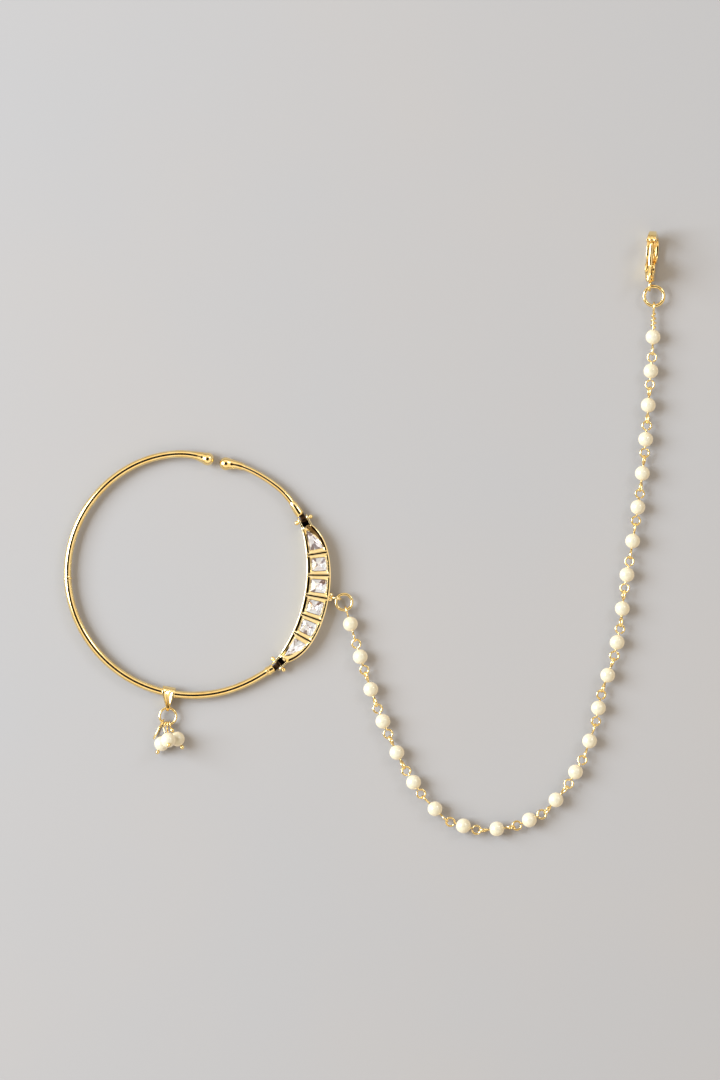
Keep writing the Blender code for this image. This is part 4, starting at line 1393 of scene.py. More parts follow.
    def rows(self, offset: float) -> tuple[list[float], list[Zone]]:
        """Splits the crescent across at an angle.

        Args:
            offset: The angle from the crescent's middle.

        Returns:
            The radii of the splits and the zone between each two.
        """
        inner, outer = self.inner(offset), self.outer(offset)
        low, high = self.pocket_sides(offset)
        scale = (outer - inner) / self.width
        radii = [inner, inner + self.rim / 2, inner + self.rim, low - self.bezel * scale, low]
        steps = self.pocket_rows
        radii += [low + (high - low) * row / steps for row in range(1, steps + 1)]
        edge = outer - self.rim
        radii += [edge - self.line * scale, edge, outer - self.rim / 2, outer]
        zones = [Zone.RIM, Zone.RIM, Zone.SLOT, Zone.BEZEL] + [Zone.POCKET] * self.pocket_rows
        zones += [Zone.BEZEL, Zone.SLOT, Zone.RIM, Zone.RIM]
        return radii, zones

    def top(self, column: int, row: int, ridges: set[int], last_row: int, offset: float) -> float:
        """Height of a point of the top.

        Args:
            column: The point's column.
            row: The point's row.
            ridges: The columns that run along the middle of a rim.
            last_row: The outermost row.
            offset: The point's angle from the crescent's middle.

        Returns:
            The height above the surface.
        """
        outward = row - (last_row - 2)
        if outward >= 0:
            return self.height - self.outer_fall * outward / 2
        if column in ridges or row == 1:
            return self.height
        height = self.height - self.rim_drop
        if row in (self.pocket_edge, last_row - 3):
            height -= self.bezel_drop
        if row == last_row - 3:
            height -= self.plate_drop * self.tip_share(offset)
        return height

    @staticmethod
    def field_of(column: tuple[Zone, int], across: Zone, inward: bool) -> tuple[Zone, int]:
        """What a field of the grid becomes.

        Args:
            column: The zone and cell of its column.
            across: The zone of its row.
            inward: Whether it lies in the half towards the ring's centre.

        Returns:
            Its zone, and a number that keeps it apart from fields that it doesn't touch.
        """
        kind, cell = column
        if kind is Zone.GROOVE:
            return (Zone.RIM if across is Zone.RIM else Zone.GROOVE), cell
        if kind is Zone.RIM:
            return Zone.RIM, cell
        if across is Zone.SLOT:
            return Zone.SLOT, cell * 2 + (0 if inward else 1)
        return across, cell

    def spot(self, radius: float, offset: float, height: float) -> Vector:
        """A point of the crescent at a height above the surface."""
        return polar(self.layout.centre, radius, self.layout.setting_angle + offset, height)

    def sheet(self) -> tuple[Shape, dict[tuple[Zone, int], list[Face]]]:
        """Spreads a grid over the crescent and thickens it into a slab.

        Returns:
            The slab, and its top faces by zone and cell.
        """
        angles, column_zones = self.columns()
        row_zones = self.rows(0.0)[1]
        columns, rows = len(column_zones), len(row_zones)
        shape = bmesh.new()
        bmesh.ops.create_grid(shape, x_segments=columns, y_segments=rows, size=1.0)
        spots: dict[Vertex, tuple[int, int]] = {}
        for vertex in shape.verts:
            column = round((vertex.co.x + 1.0) / 2.0 * columns)
            row = round((vertex.co.y + 1.0) / 2.0 * rows)
            spots[vertex] = (column, row)
        zones: dict[Face, tuple[Zone, int]] = {}
        for face in shape.faces:
            column = min(spots[vertex][0] for vertex in face.verts)
            row = min(spots[vertex][1] for vertex in face.verts)
            zones[face] = self.field_of(column_zones[column], row_zones[row], row < rows / 2)
        tables = [self.rows(angle)[0] for angle in angles]
        kinds = [kind for kind, _ in column_zones]
        ridges = {
            column for column in range(2, columns - 1)
            if kinds[column - 1] is Zone.RIM and kinds[column] is Zone.RIM
        }
        for vertex, (column, row) in spots.items():
            height = self.top(column, row, ridges, rows, angles[column])
            vertex.co = self.spot(tables[column][row], angles[column], height)
        top = list(shape.faces)
        lowered = bmesh.ops.extrude_face_region(shape, geom=top, use_keep_orig=True)["geom"]
        for item in lowered:
            if isinstance(item, Vertex):
                item.co.z = self.base
        groups: dict[tuple[Zone, int], list[Face]] = {}
        for face, key in zones.items():
            groups.setdefault(key, []).append(face)
        return shape, groups

    def sink(
        self,
        shape: Shape,
        faces: Sequence[Face],
        level: float,
        reshape: Callable[[Vector], Vector] | None = None,
    ) -> list[Face]:
        """Pushes a region of the top down.

        Args:
            shape: The crescent.
            faces: The region.
            level: The height that it goes down to.
            reshape: Moves each sunk point sideways.

        Returns:
            The sunk faces.
        """
        made = bmesh.ops.extrude_face_region(shape, geom=list(faces))["geom"]
        old = [face for face in faces if face.is_valid]
        bmesh.ops.delete(shape, geom=old, context="FACES_ONLY")
        fresh = [item for item in made if isinstance(item, Vertex)]
        for vertex in fresh:
            vertex.co.z = level
            if reshape:
                vertex.co = reshape(vertex.co)
        return [item for item in made if isinstance(item, Face)]

    def read_spot(self, point: Vector) -> tuple[float, float]:
        """Where a point lies round the ring.

        Args:
            point: The point.

        Returns:
            Its radius, and its angle from the crescent's middle.
        """
        flat = point - self.layout.centre
        offset = math.degrees(math.atan2(flat.y, flat.x)) - self.layout.setting_angle
        return math.hypot(flat.x, flat.y), offset

    def drawn_in(self, cell: int, inset: float) -> Callable[[Vector], Vector]:
        """Moves points of a cell towards its middle.

        Args:
            cell: The cell's number.
            inset: How far its sides move.

        Returns:
            The function that moves a point.
        """
        start, end = self.cell_limits(cell)
        middle = (start + end) / 2
        half = (end - start) / 2 - self.turn(self.rim)
        kept = 1.0 - self.turn(inset) / half

        def move(point: Vector) -> Vector:
            """Moves one point towards the middle of its cell.

            Args:
                point: The point.

            Returns:
                Its new place, at the same height.
            """
            radius, offset = self.read_spot(point)
            low, high = self.pocket_sides(offset)
            squeeze = 1.0 - inset * self.inset_across / ((high - low) / 2)
            aside = (radius - (low + high) / 2) * max(squeeze, self.narrowest_share)
            moved = middle + (offset - middle) * kept
            low, high = self.pocket_sides(moved)
            return self.spot((low + high) / 2 + aside, moved, point.z)

        return move

    def on_rim(self, point: Vector) -> bool:
        """Whether a point of the top borders a rim, not a stone's bezel.

        Args:
            point: The point.

        Returns:
            True on a rim.
        """
        radius, offset = self.read_spot(point)
        reach = self.rim * self.rim_reach
        if radius < self.inner(offset) + reach or radius > self.outer(offset) - reach:
            return True
        limits = [limit for cell in range(self.stones) for limit in self.cell_limits(cell)]
        return any(abs(offset - limit) < self.turn(reach) for limit in limits)

    def metal(self) -> Shape:
        """Shapes the slab into rims, grooves, slots and pockets, and rounds its edges.

        Returns:
            The crescent without its hinges and eye.
        """
        shape, groups = self.sheet()
        for (zone, cell), faces in groups.items():
            if zone is Zone.GROOVE:
                self.sink(shape, faces, self.height - self.groove_depth)
            elif zone is Zone.SLOT:
                self.sink(shape, faces, self.height - self.slot_depth)
            elif zone is Zone.POCKET:
                lip = self.drawn_in(cell, self.lip)
                sloped = self.sink(shape, faces, self.height - self.lip_depth, lip)
                self.sink(shape, sloped, self.floor)
        bmesh.ops.recalc_face_normals(shape, faces=shape.faces)
        lowest = self.height - self.rim_drop - self.slack
        rims = [
            edge for edge in shape.edges
            if len(edge.link_faces) == 2
            and edge.calc_face_angle(0.0) > math.radians(self.rim_angle)
            and min(vertex.co.z for vertex in edge.verts) > lowest
            and self.on_rim((edge.verts[0].co + edge.verts[1].co) / 2)
        ]
        round_edges(shape, rims, self.rim_rounding)
        feet = [
            edge for edge in shape.edges
            if edge.calc_face_angle(0.0) > math.radians(self.foot_angle)
            and max(vertex.co.z for vertex in edge.verts) < self.base + self.slack
        ]
        round_edges(shape, feet, self.foot_rounding)
        self.paint_shade(shape)
        return shape

    def paint_shade(self, shape: Shape) -> None:
        """Paints shade: the deep and steep faces of the top get a near-black painted shade and
        reflection, and the plate at the upper tip a painted dark reflection.

        Args:
            shape: The crescent.
        """
        for face in shape.faces:
            centre = face.calc_center_median()
            depth = self.height - centre.z
            deep = depth > self.girdle_depth + 2 * self.slack
            steep = depth > self.steep_depth and abs(face.normal.z) < self.steep_normal
            if (deep or steep) and centre.z > self.floor - self.slack:
                radius, offset = self.read_spot(centre)
                edge = self.bright_edge
                if self.inner(offset) + edge < radius < self.outer(offset) - edge:
                    # painted shade: faces deep in the grooves, slots and pockets, and steep walls,
                    # go near black
                    face.material_index = 2
            elif centre.z > self.floor and face.normal.z > self.flat_normal:
                if self.on_dark_plate(centre):
                    # painted dark reflection on the plate at the upper tip only
                    face.material_index = 1

    def on_dark_plate(self, point: Vector) -> bool:
        """Whether a point lies on the plate at the upper tip, outside the stone, which gets a
        painted dark reflection.

        Args:
            point: The point.

        Returns:
            True on the plate.
        """
        radius, offset = self.read_spot(point)
        start = (self.stones / 2 - 1) * self.spacing + self.plate_start
        beside = self.pocket_sides(offset)[1] < radius < self.outer(offset) - self.rim
        return offset > start and beside

    def eye(self) -> Shape:
        """The chain's eye, stood on edge, with the two solder beads at its foot.

        Returns:
            The eye.
        """
        outward = way(self.eye_angle)
        reach = self.outer(0.0) + self.eye_radius + 2 * self.eye_wire
        centre = self.layout.at(reach, self.eye_angle)
        side = way(self.eye_angle + 90.0)
        shape = torus(frame_at(centre, outward, UP, side), self.eye_radius, self.eye_wire)
        foot = centre - outward * (self.eye_radius + self.eye_wire)
        for shift, size in self.solder_beads:
            merge(shape, turned(ball_profile(size), facing(foot + side * shift, outward), 24))
        root = foot - outward * self.eye_root_depth
        merge(shape, rod(root, foot + outward * self.eye_wire, self.eye_root))
        return shape

    def stone(self, cell: int) -> Shape:
        """Cuts one stone: table, crown, girdle and pavilion facets.

        Args:
            cell: The stone's cell.

        Returns:
            The stone, with its pavilion in the second material and a random value for each facet
            that picks its painted reflection.
        """
        start, end = self.cell_limits(cell)
        rim = self.turn(self.rim + self.wall_slope * self.end_room)
        start, end = start + rim, end - rim
        squeeze = self.wall_slope * self.side_room
        girdle = self.height - self.girdle_depth
        shape = bmesh.new()
        for ring in self.cut:
            for index in range(ring.corners):
                angle = math.tau * (index + ring.shift) / ring.corners + math.pi / 4
                square = 1.0 / max(abs(math.cos(angle)), abs(math.sin(angle)))
                reach = ring.size * (self.roundness + (1.0 - self.roundness) * square)
                u, v = reach * math.cos(angle), reach * math.sin(angle)
                offset = (start + end) / 2 + (end - start) / 2 * u
                low, high = self.pocket_sides(offset)
                low, high = low + squeeze, high - squeeze
                radius = (low + high) / 2 + (high - low) / 2 * v
                shape.verts.new(self.spot(radius, offset, girdle + ring.rise))
        hull = bmesh.ops.convex_hull(shape, input=shape.verts)
        loose = [item for item in hull["geom_interior"] if isinstance(item, Vertex)]
        bmesh.ops.delete(shape, geom=loose, context="VERTS")
        bmesh.ops.dissolve_limit(
            shape, angle_limit=math.radians(self.flat_angle), verts=shape.verts, edges=shape.edges
        )
        bmesh.ops.recalc_face_normals(shape, faces=shape.faces)
        tint = shape.faces.layers.float.new(FACET)
        draw = random.Random(self.first_seed + cell)
        for face in sorted(shape.faces, key=lambda one: tuple(one.calc_center_median())):
            face.material_index = 1 if face.normal.z < self.back_normal else 0
            # each facet's random value picks its painted reflection colour on the foil
            face[tint] = draw.random()
        return shape

    def build(self, bench: Bench) -> None:
        """Delivers the crescent, its stones and the hinges' pins.

        Args:
            bench: Where the pieces are delivered.
        """
        shape = self.metal()
        back = math.radians(self.layout.joint_angle - self.half_angle) * self.layout.joint_radius
        for hinge in self.hinges:
            merge(shape, hinge.cheeks(back + hinge.cheek))
            merge(shape, hinge.web(back + hinge.cheek, self.base))
        merge(shape, self.eye())
        bench.deliver(
            shape, "crescent_setting", Body.CRESCENT,
            [bench.rim_gold, bench.painted_dark_gold, bench.painted_shade_gold], ["stone_setting"],
        )
        for cell in range(self.stones):
            bench.deliver(
                self.stone(cell), f"cut_stone_{cell + 1}", Body.CRESCENT,
                [bench.crystal, bench.foil], [f"stone_{cell + 1}"], sharp=self.facet_angle,
            )
        for hinge, word in zip(self.hinges, ("upper", "lower")):
            bench.deliver(
                hinge.pin(), f"{word}_hinge_pin", Body.CRESCENT, [bench.gold],
                [f"hinge_pin_{word}"],
            )


def eye_loop(
    centre: Vector, heading: Vector, side: Vector, radius: float, wire_size: float
) -> list[Vector]:
    """The path of an eye bent at the end of a wire.

    Args:
        centre: The eye's centre.
        heading: The way that the wire runs into the eye.
        side: The other way of the eye's plane.
        radius: From the eye's centre to the middle of the wire.
        wire_size: The wire's diameter.

    Returns:
        The path, from the straight wire round to the wire's tip.
    """
    points = [centre - heading * (radius + wire_size / 2)]
    for place in arc(radius, 170.0, -160.0, 40):
        points.append(centre + heading * place.x + side * place.y)
    return points


@dataclass(frozen=True)
class PearlChain:
    """The chain of pearls on eye pins, between a ring at the crescent and a ring at the clasp."""

    pearls: int = 25
    pearl_radius: float = 1.5 * MM
    bore: float = 0.33 * MM
    wire_size: float = 0.42 * MM
    loop_radius: float = 0.85 * MM
    bite: float = 0.10 * MM
    clearance: float = 0.10 * MM
    twist: float = 16.0
    twist_step: float = 120.3
    ring_radius: float = 1.6 * MM
    ring_wire: float = 0.3 * MM
    clasp_ring_radius: float = 1.95 * MM
    clasp_ring_wire: float = 0.35 * MM
    coil_turns: float = 3.6
    coil_wire: float = 0.17 * MM
    coil_looseness: float = 1.1
    coil_swell: float = 0.25
    coil_wave: float = 5.0
    coil_steps: int = 90

    @staticmethod
    def node(index: int) -> str:
        """The name of a pearl's CAD node."""
        return f"chain_pearl_{index + 1:02d}"

    @property
    def half_bite(self) -> float:
        """From the point where two eyes meet to the centre of either."""
        return (2 * self.loop_radius - self.wire_size + self.bite) / 2

    def hang(self, ring_radius: float, ring_wire: float) -> float:
        """From a ring's centre to that of the eye on it.

        Args:
            ring_radius: The ring's radius.
            ring_wire: The radius of its wire.

        Returns:
            The distance.
        """
        return ring_radius + self.loop_radius - ring_wire - self.wire_size / 2 - self.clearance

    def joints(self) -> list[Vector]:
        """The points where neighbouring eye pins meet.

        Returns:
            One point more than there are pearls.
        """
        ring_at = cad_middle("chain_ring")
        first = cad_middle(self.node(0))
        reach = self.hang(self.ring_radius, self.ring_wire)
        points = [ring_at + (first - ring_at).normalized() * (reach - self.half_bite)]
        for index in range(self.pearls):
            points.append(cad_middle(self.node(index)) * 2 - points[-1])
        return points

    def plane(self, index: int, heading: Vector) -> Vector:
        """How a pin's eyes stand: every second one flat, each with a little twist of its own.

        Args:
            index: The pin's number.
            heading: The way that it runs.

        Returns:
            The direction across the pin in the plane of its eyes.
        """
        side = UP.cross(heading).normalized()
        quarter = 90.0 if index % 2 == 0 else 0.0
        tilt = math.radians(quarter + self.twist * math.sin(math.radians(self.twist_step * index)))
        return side * math.cos(tilt) + UP * math.sin(tilt)

    def build(self, bench: Bench) -> None:
        """Delivers the rings, pearls and eye pins.

        Args:
            bench: Where the pieces are delivered.
        """
        for node, radius, size in (
            ("chain_ring", self.ring_radius, self.ring_wire),
            ("clasp_ring", self.clasp_ring_radius, self.clasp_ring_wire),
        ):
            shape = torus(Matrix.Translation(cad_middle(node)), radius, size, 72, 18)
            bench.deliver(shape, f"{node}_round", Body.CRESCENT, [bench.gold], [node])
        joints = self.joints()
        pins = bmesh.new()
        for index in range(self.pearls):
            start, end = joints[index], joints[index + 1]
            heading = (end - start).normalized()
            plane = self.plane(index, heading)
            near = start + heading * self.half_bite
            far = end - heading * self.half_bite
            name = self.node(index)
            middle = cad_middle(name)
            if index == self.pearls - 1:
                clasp_at = cad_middle("clasp_ring")
                reach = self.hang(self.clasp_ring_radius, self.clasp_ring_wire)
                far = clasp_at + (middle - clasp_at).normalized() * reach
                heading = (far - near).normalized()
                merge(pins, self.coil(middle, far, heading, plane))
            path = list(reversed(eye_loop(near, -heading, plane, self.loop_radius, self.wire_size)))
            path += eye_loop(far, heading, plane, self.loop_radius, self.wire_size)
            merge(pins, plain_wire(path, self.wire_size / 2))
            bead = turned(bead_profile(self.pearl_radius, self.bore), facing(middle, heading), 32)
            bench.deliver(bead, f"round_{name}", Body.CRESCENT, [bench.pearl], [name])
        bench.deliver(pins, "eye_pins", Body.CRESCENT, [bench.gold], ["chain_links"])

    def coil(self, middle: Vector, far: Vector, heading: Vector, plane: Vector) -> Shape:
        """The wire wound round the last pin's neck.

        Args:
            middle: The last pearl's centre.
            far: The centre of the eye on the clasp's ring.
            heading: The way of the pin.
            plane: A way square to it.

        Returns:
            The wound wire.
        """
        start = middle + heading * (self.pearl_radius + self.coil_wire)
        end = far - heading * (self.loop_radius + self.wire_size / 2)
        other = heading.cross(plane)
        radius = self.wire_size / 2 + self.coil_wire * self.coil_looseness
        path = []
        for step in range(self.coil_steps + 1):
            share = step / self.coil_steps
            angle = math.tau * self.coil_turns * share
            swell = radius * (1.0 + self.coil_swell * math.sin(self.coil_wave * share))
            around = plane * math.cos(angle) + other * math.sin(angle)
            path.append(start.lerp(end, share) + around * swell)
        return plain_wire(path, self.coil_wire)


@dataclass(frozen=True)
class Dangle:
    """One pin of the drop: where its loop hangs, the way it points, and whether it has the bead."""

    name: str
    loop_angle: float
    heading: tuple[float, float, float]
    beaded: bool = False


@dataclass(frozen=True)
class Drop:
    """The bail over the long arc, its ring, three pearls on pins, a bead and an oval link."""

    tube_at: Vector
    angle: float = -100.4
    tube_radius: float = 0.75 * MM
    bail_clearance: float = 0.13 * MM
    bail_width: float = 2.6 * MM
    bail_tip_width: float = 0.6 * MM
    bail_length: float = 2.96 * MM
    bail_tip_drop: float = 0.1 * MM
    bail_tip_shift: float = 0.45 * MM
    bail_roll: float = 1.3 * MM
    bail_rounding: float = 0.12 * MM
    bail_flute: float = 0.10 * MM
    bail_flutes: float = 2.5
    bail_flute_lift: float = 0.4
    bail_skin: float = 0.97
    bail_front: float = -0.3
    bail_taper_power: float = 0.8
    bail_cut_share: float = 0.46
    bail_cuts: int = 5
    eye_radius: float = 0.42 * MM
    eye_wall: float = 0.28 * MM
    ring_radius: float = 1.65 * MM
    ring_wire: float = 0.25 * MM
    pearl: float = 3.0 * MM
    pearl_bore: float = 0.30 * MM
    pin_wire: float = 0.16 * MM
    ball_radius: float = 0.45 * MM
    ball_steps: int = 14
    ball_seat: float = 0.9
    pole_gap: float = 0.06
    pin_sides: int = 16
    loop_radius: float = 0.55 * MM
    loop_clearance: float = 0.08 * MM
    bead: float = 0.9 * MM
    bead_bore: float = 0.24 * MM
    link_length: float = 4.6 * MM
    link_width: float = 2.6 * MM
    link_wire: float = 0.4 * MM
    link_clearance: float = 0.10 * MM
    link_angle: float = -133.0
    link_heading: float = -117.5
    dangles: tuple[Dangle, ...] = (
        Dangle("1", -111.0, (-0.68, -1.38, -0.25)),
        Dangle("2", -75.0, (0.50, -0.85, -0.06), beaded=True),
        Dangle("3", -93.0, (0.12, -0.92, 1.70)),
    )

    def bail(self) -> Shape:
        """A fluted strap folded over the tube and drawn out to an eye.

        Returns:
            The bail.
        """
        tip = Vector((self.bail_length, -self.bail_tip_drop, 0.0))
        outline = arc(self.bail_roll, 80.0, 280.0, 32)
        outline += [tip + point for point in arc(self.eye_radius + self.eye_wall, -95.0, 85.0, 20)]
        shape = plate(outline, self.bail_width, self.bail_rounding, 2)
        reach = UP * self.bail_width
        holes = ((Vector(), self.tube_radius + self.bail_clearance), (tip, self.eye_radius))
        bores = [rod(spot - reach, spot + reach, radius, 40) for spot, radius in holes]
        shape = carve(shape, bores)
        for step in range(-self.bail_cuts, self.bail_cuts + 1):
            cut = self.bail_width * self.bail_cut_share * step / self.bail_cuts
            bmesh.ops.bisect_plane(
                shape, geom=list(shape.verts) + list(shape.edges) + list(shape.faces),
                plane_co=(0.0, 0.0, cut), plane_no=UP, dist=WELD,
            )
        for vertex in shape.verts:
            side = vertex.co.z / (self.bail_width / 2)
            outside = vertex.co.xy.length > self.bail_roll * self.bail_skin
            if outside and vertex.co.y > self.bail_front * self.bail_roll:
                wave = math.cos(self.bail_flutes * math.pi * side)
                vertex.co.y += self.bail_flute * (wave - self.bail_flute_lift)
            share = min(max(vertex.co.x / self.bail_length, 0.0), 1.0)
            narrowing = self.bail_tip_width / self.bail_width - 1.0
            taper = 1.0 + narrowing * share**self.bail_taper_power
            vertex.co.z = vertex.co.z * taper + self.bail_tip_shift * share**2
        place = frame_at(self.tube_at, way(self.angle), UP, way(self.angle + 90.0))
        bmesh.ops.transform(shape, matrix=place, verts=shape.verts)
        bmesh.ops.recalc_face_normals(shape, faces=shape.faces)
        return shape

    def pin(self, dangle: Dangle, centre: Vector, pearl_at: Vector, heading: Vector) -> Shape:
        """A wire with a loop on the ring, a run through its pearl and a ball at its end.

        Args:
            dangle: Which pin it is.
            centre: The drop ring's centre.
            pearl_at: The pearl's centre.
            heading: The way of the pin through the pearl.

        Returns:
            The pin.
        """
        size = self.pin_wire * 2
        slack = self.loop_radius - self.pin_wire - self.ring_wire - self.loop_clearance
        outward = way(dangle.loop_angle)
        loop_at = centre + outward * (self.ring_radius + slack)
        enter = pearl_at - heading * (self.pearl / 2 + size)
        if dangle.beaded:
            enter = enter - heading * self.bead
        loop = eye_loop(loop_at, -outward, UP, self.loop_radius, size)
        points = list(reversed(loop)) + [enter, pearl_at]
        ball_at = pearl_at + heading * (self.pearl / 2 + self.ball_radius * self.ball_seat)
        over, widths = ball_end(
            ball_at, heading, self.ball_radius, self.pin_wire / self.ball_radius,
            self.ball_steps, self.pole_gap,
        )
        return wire(points + over, [self.pin_wire] * len(points) + widths, self.pin_sides)

    @staticmethod
    def hand_over(
        bench: Bench, shape: Shape, name: str, node: str, slot: Slot = Slot.GOLD
    ) -> None:
        """Delivers a piece of the drop.

        Args:
            bench: Where it is delivered.
            shape: The finished shape.
            name: The piece's name.
            node: The CAD node that it stands for.
            slot: Its slot, gold or pearl.
        """
        material = bench.pearl if slot is Slot.PEARL else bench.gold
        bench.deliver(shape, name, Body.LONG_ARC, [material], [node])

    def build(self, bench: Bench) -> None:
        """Delivers the drop's pieces.

        Args:
            bench: Where the pieces are delivered.
        """
        self.hand_over(bench, self.bail(), "fluted_bail", "drop_bail")
        centre = cad_middle("drop_ring")
        ring = torus(Matrix.Translation(centre), self.ring_radius, self.ring_wire, 72, 18)
        self.hand_over(bench, ring, "drop_ring_round", "drop_ring")
        for dangle in self.dangles:
            heading = Vector(dangle.heading).normalized()
            node = f"drop_pearl_{dangle.name}"
            pearl_at = cad_middle(node)
            profile = bead_profile(self.pearl / 2, self.pearl_bore)
            pearl = turned(profile, facing(pearl_at, heading), 40)
            self.hand_over(bench, pearl, f"round_{node}", node, Slot.PEARL)
            pin = self.pin(dangle, centre, pearl_at, heading)
            self.hand_over(bench, pin, f"ball_pin_{dangle.name}", f"drop_pin_{dangle.name}")
            if dangle.beaded:
                profile = bead_profile(self.bead / 2, self.bead_bore)
                bead = turned(profile, facing(cad_middle("drop_bead"), heading), 28)
                self.hand_over(bench, bead, "gold_bead", "drop_bead")
        self.hand_over(bench, self.oval(centre), "oval_link", "drop_oval_link")

    def oval(self, centre: Vector) -> Shape:
        """The long link on edge beside the first pearl.

        Args:
            centre: The drop ring's centre.

        Returns:
            The link.
        """
        hook = centre + way(self.link_angle) * self.ring_radius
        heading = way(self.link_heading)
        half_length = (self.link_length - self.link_wire) / 2
        half_width = (self.link_width - self.link_wire) / 2
        inset = self.link_wire / 2 + self.ring_wire + self.link_clearance
        middle = hook + heading * (half_length - inset)
        middle.z = self.link_width / 2
        # A thin ring of radius 1 tells each point's place round the link and round its wire.
        thin = 0.001
        shape = torus(Matrix.Identity(4), 1.0, thin, 64, 14)
        for vertex in shape.verts:
            spine = Vector((vertex.co.x, vertex.co.y, 0.0)).normalized()
            around = (vertex.co - spine) / thin
            outward = Vector((spine.x / half_length, spine.y / half_width, 0.0)).normalized()
            place = Vector((spine.x * half_length, spine.y * half_width, 0.0))
            vertex.co = place + (outward * around.dot(spine) + UP * around.z) * self.link_wire / 2
        place = frame_at(middle, heading, UP, heading.cross(UP))
        bmesh.ops.transform(shape, matrix=place, verts=shape.verts)
        return shape


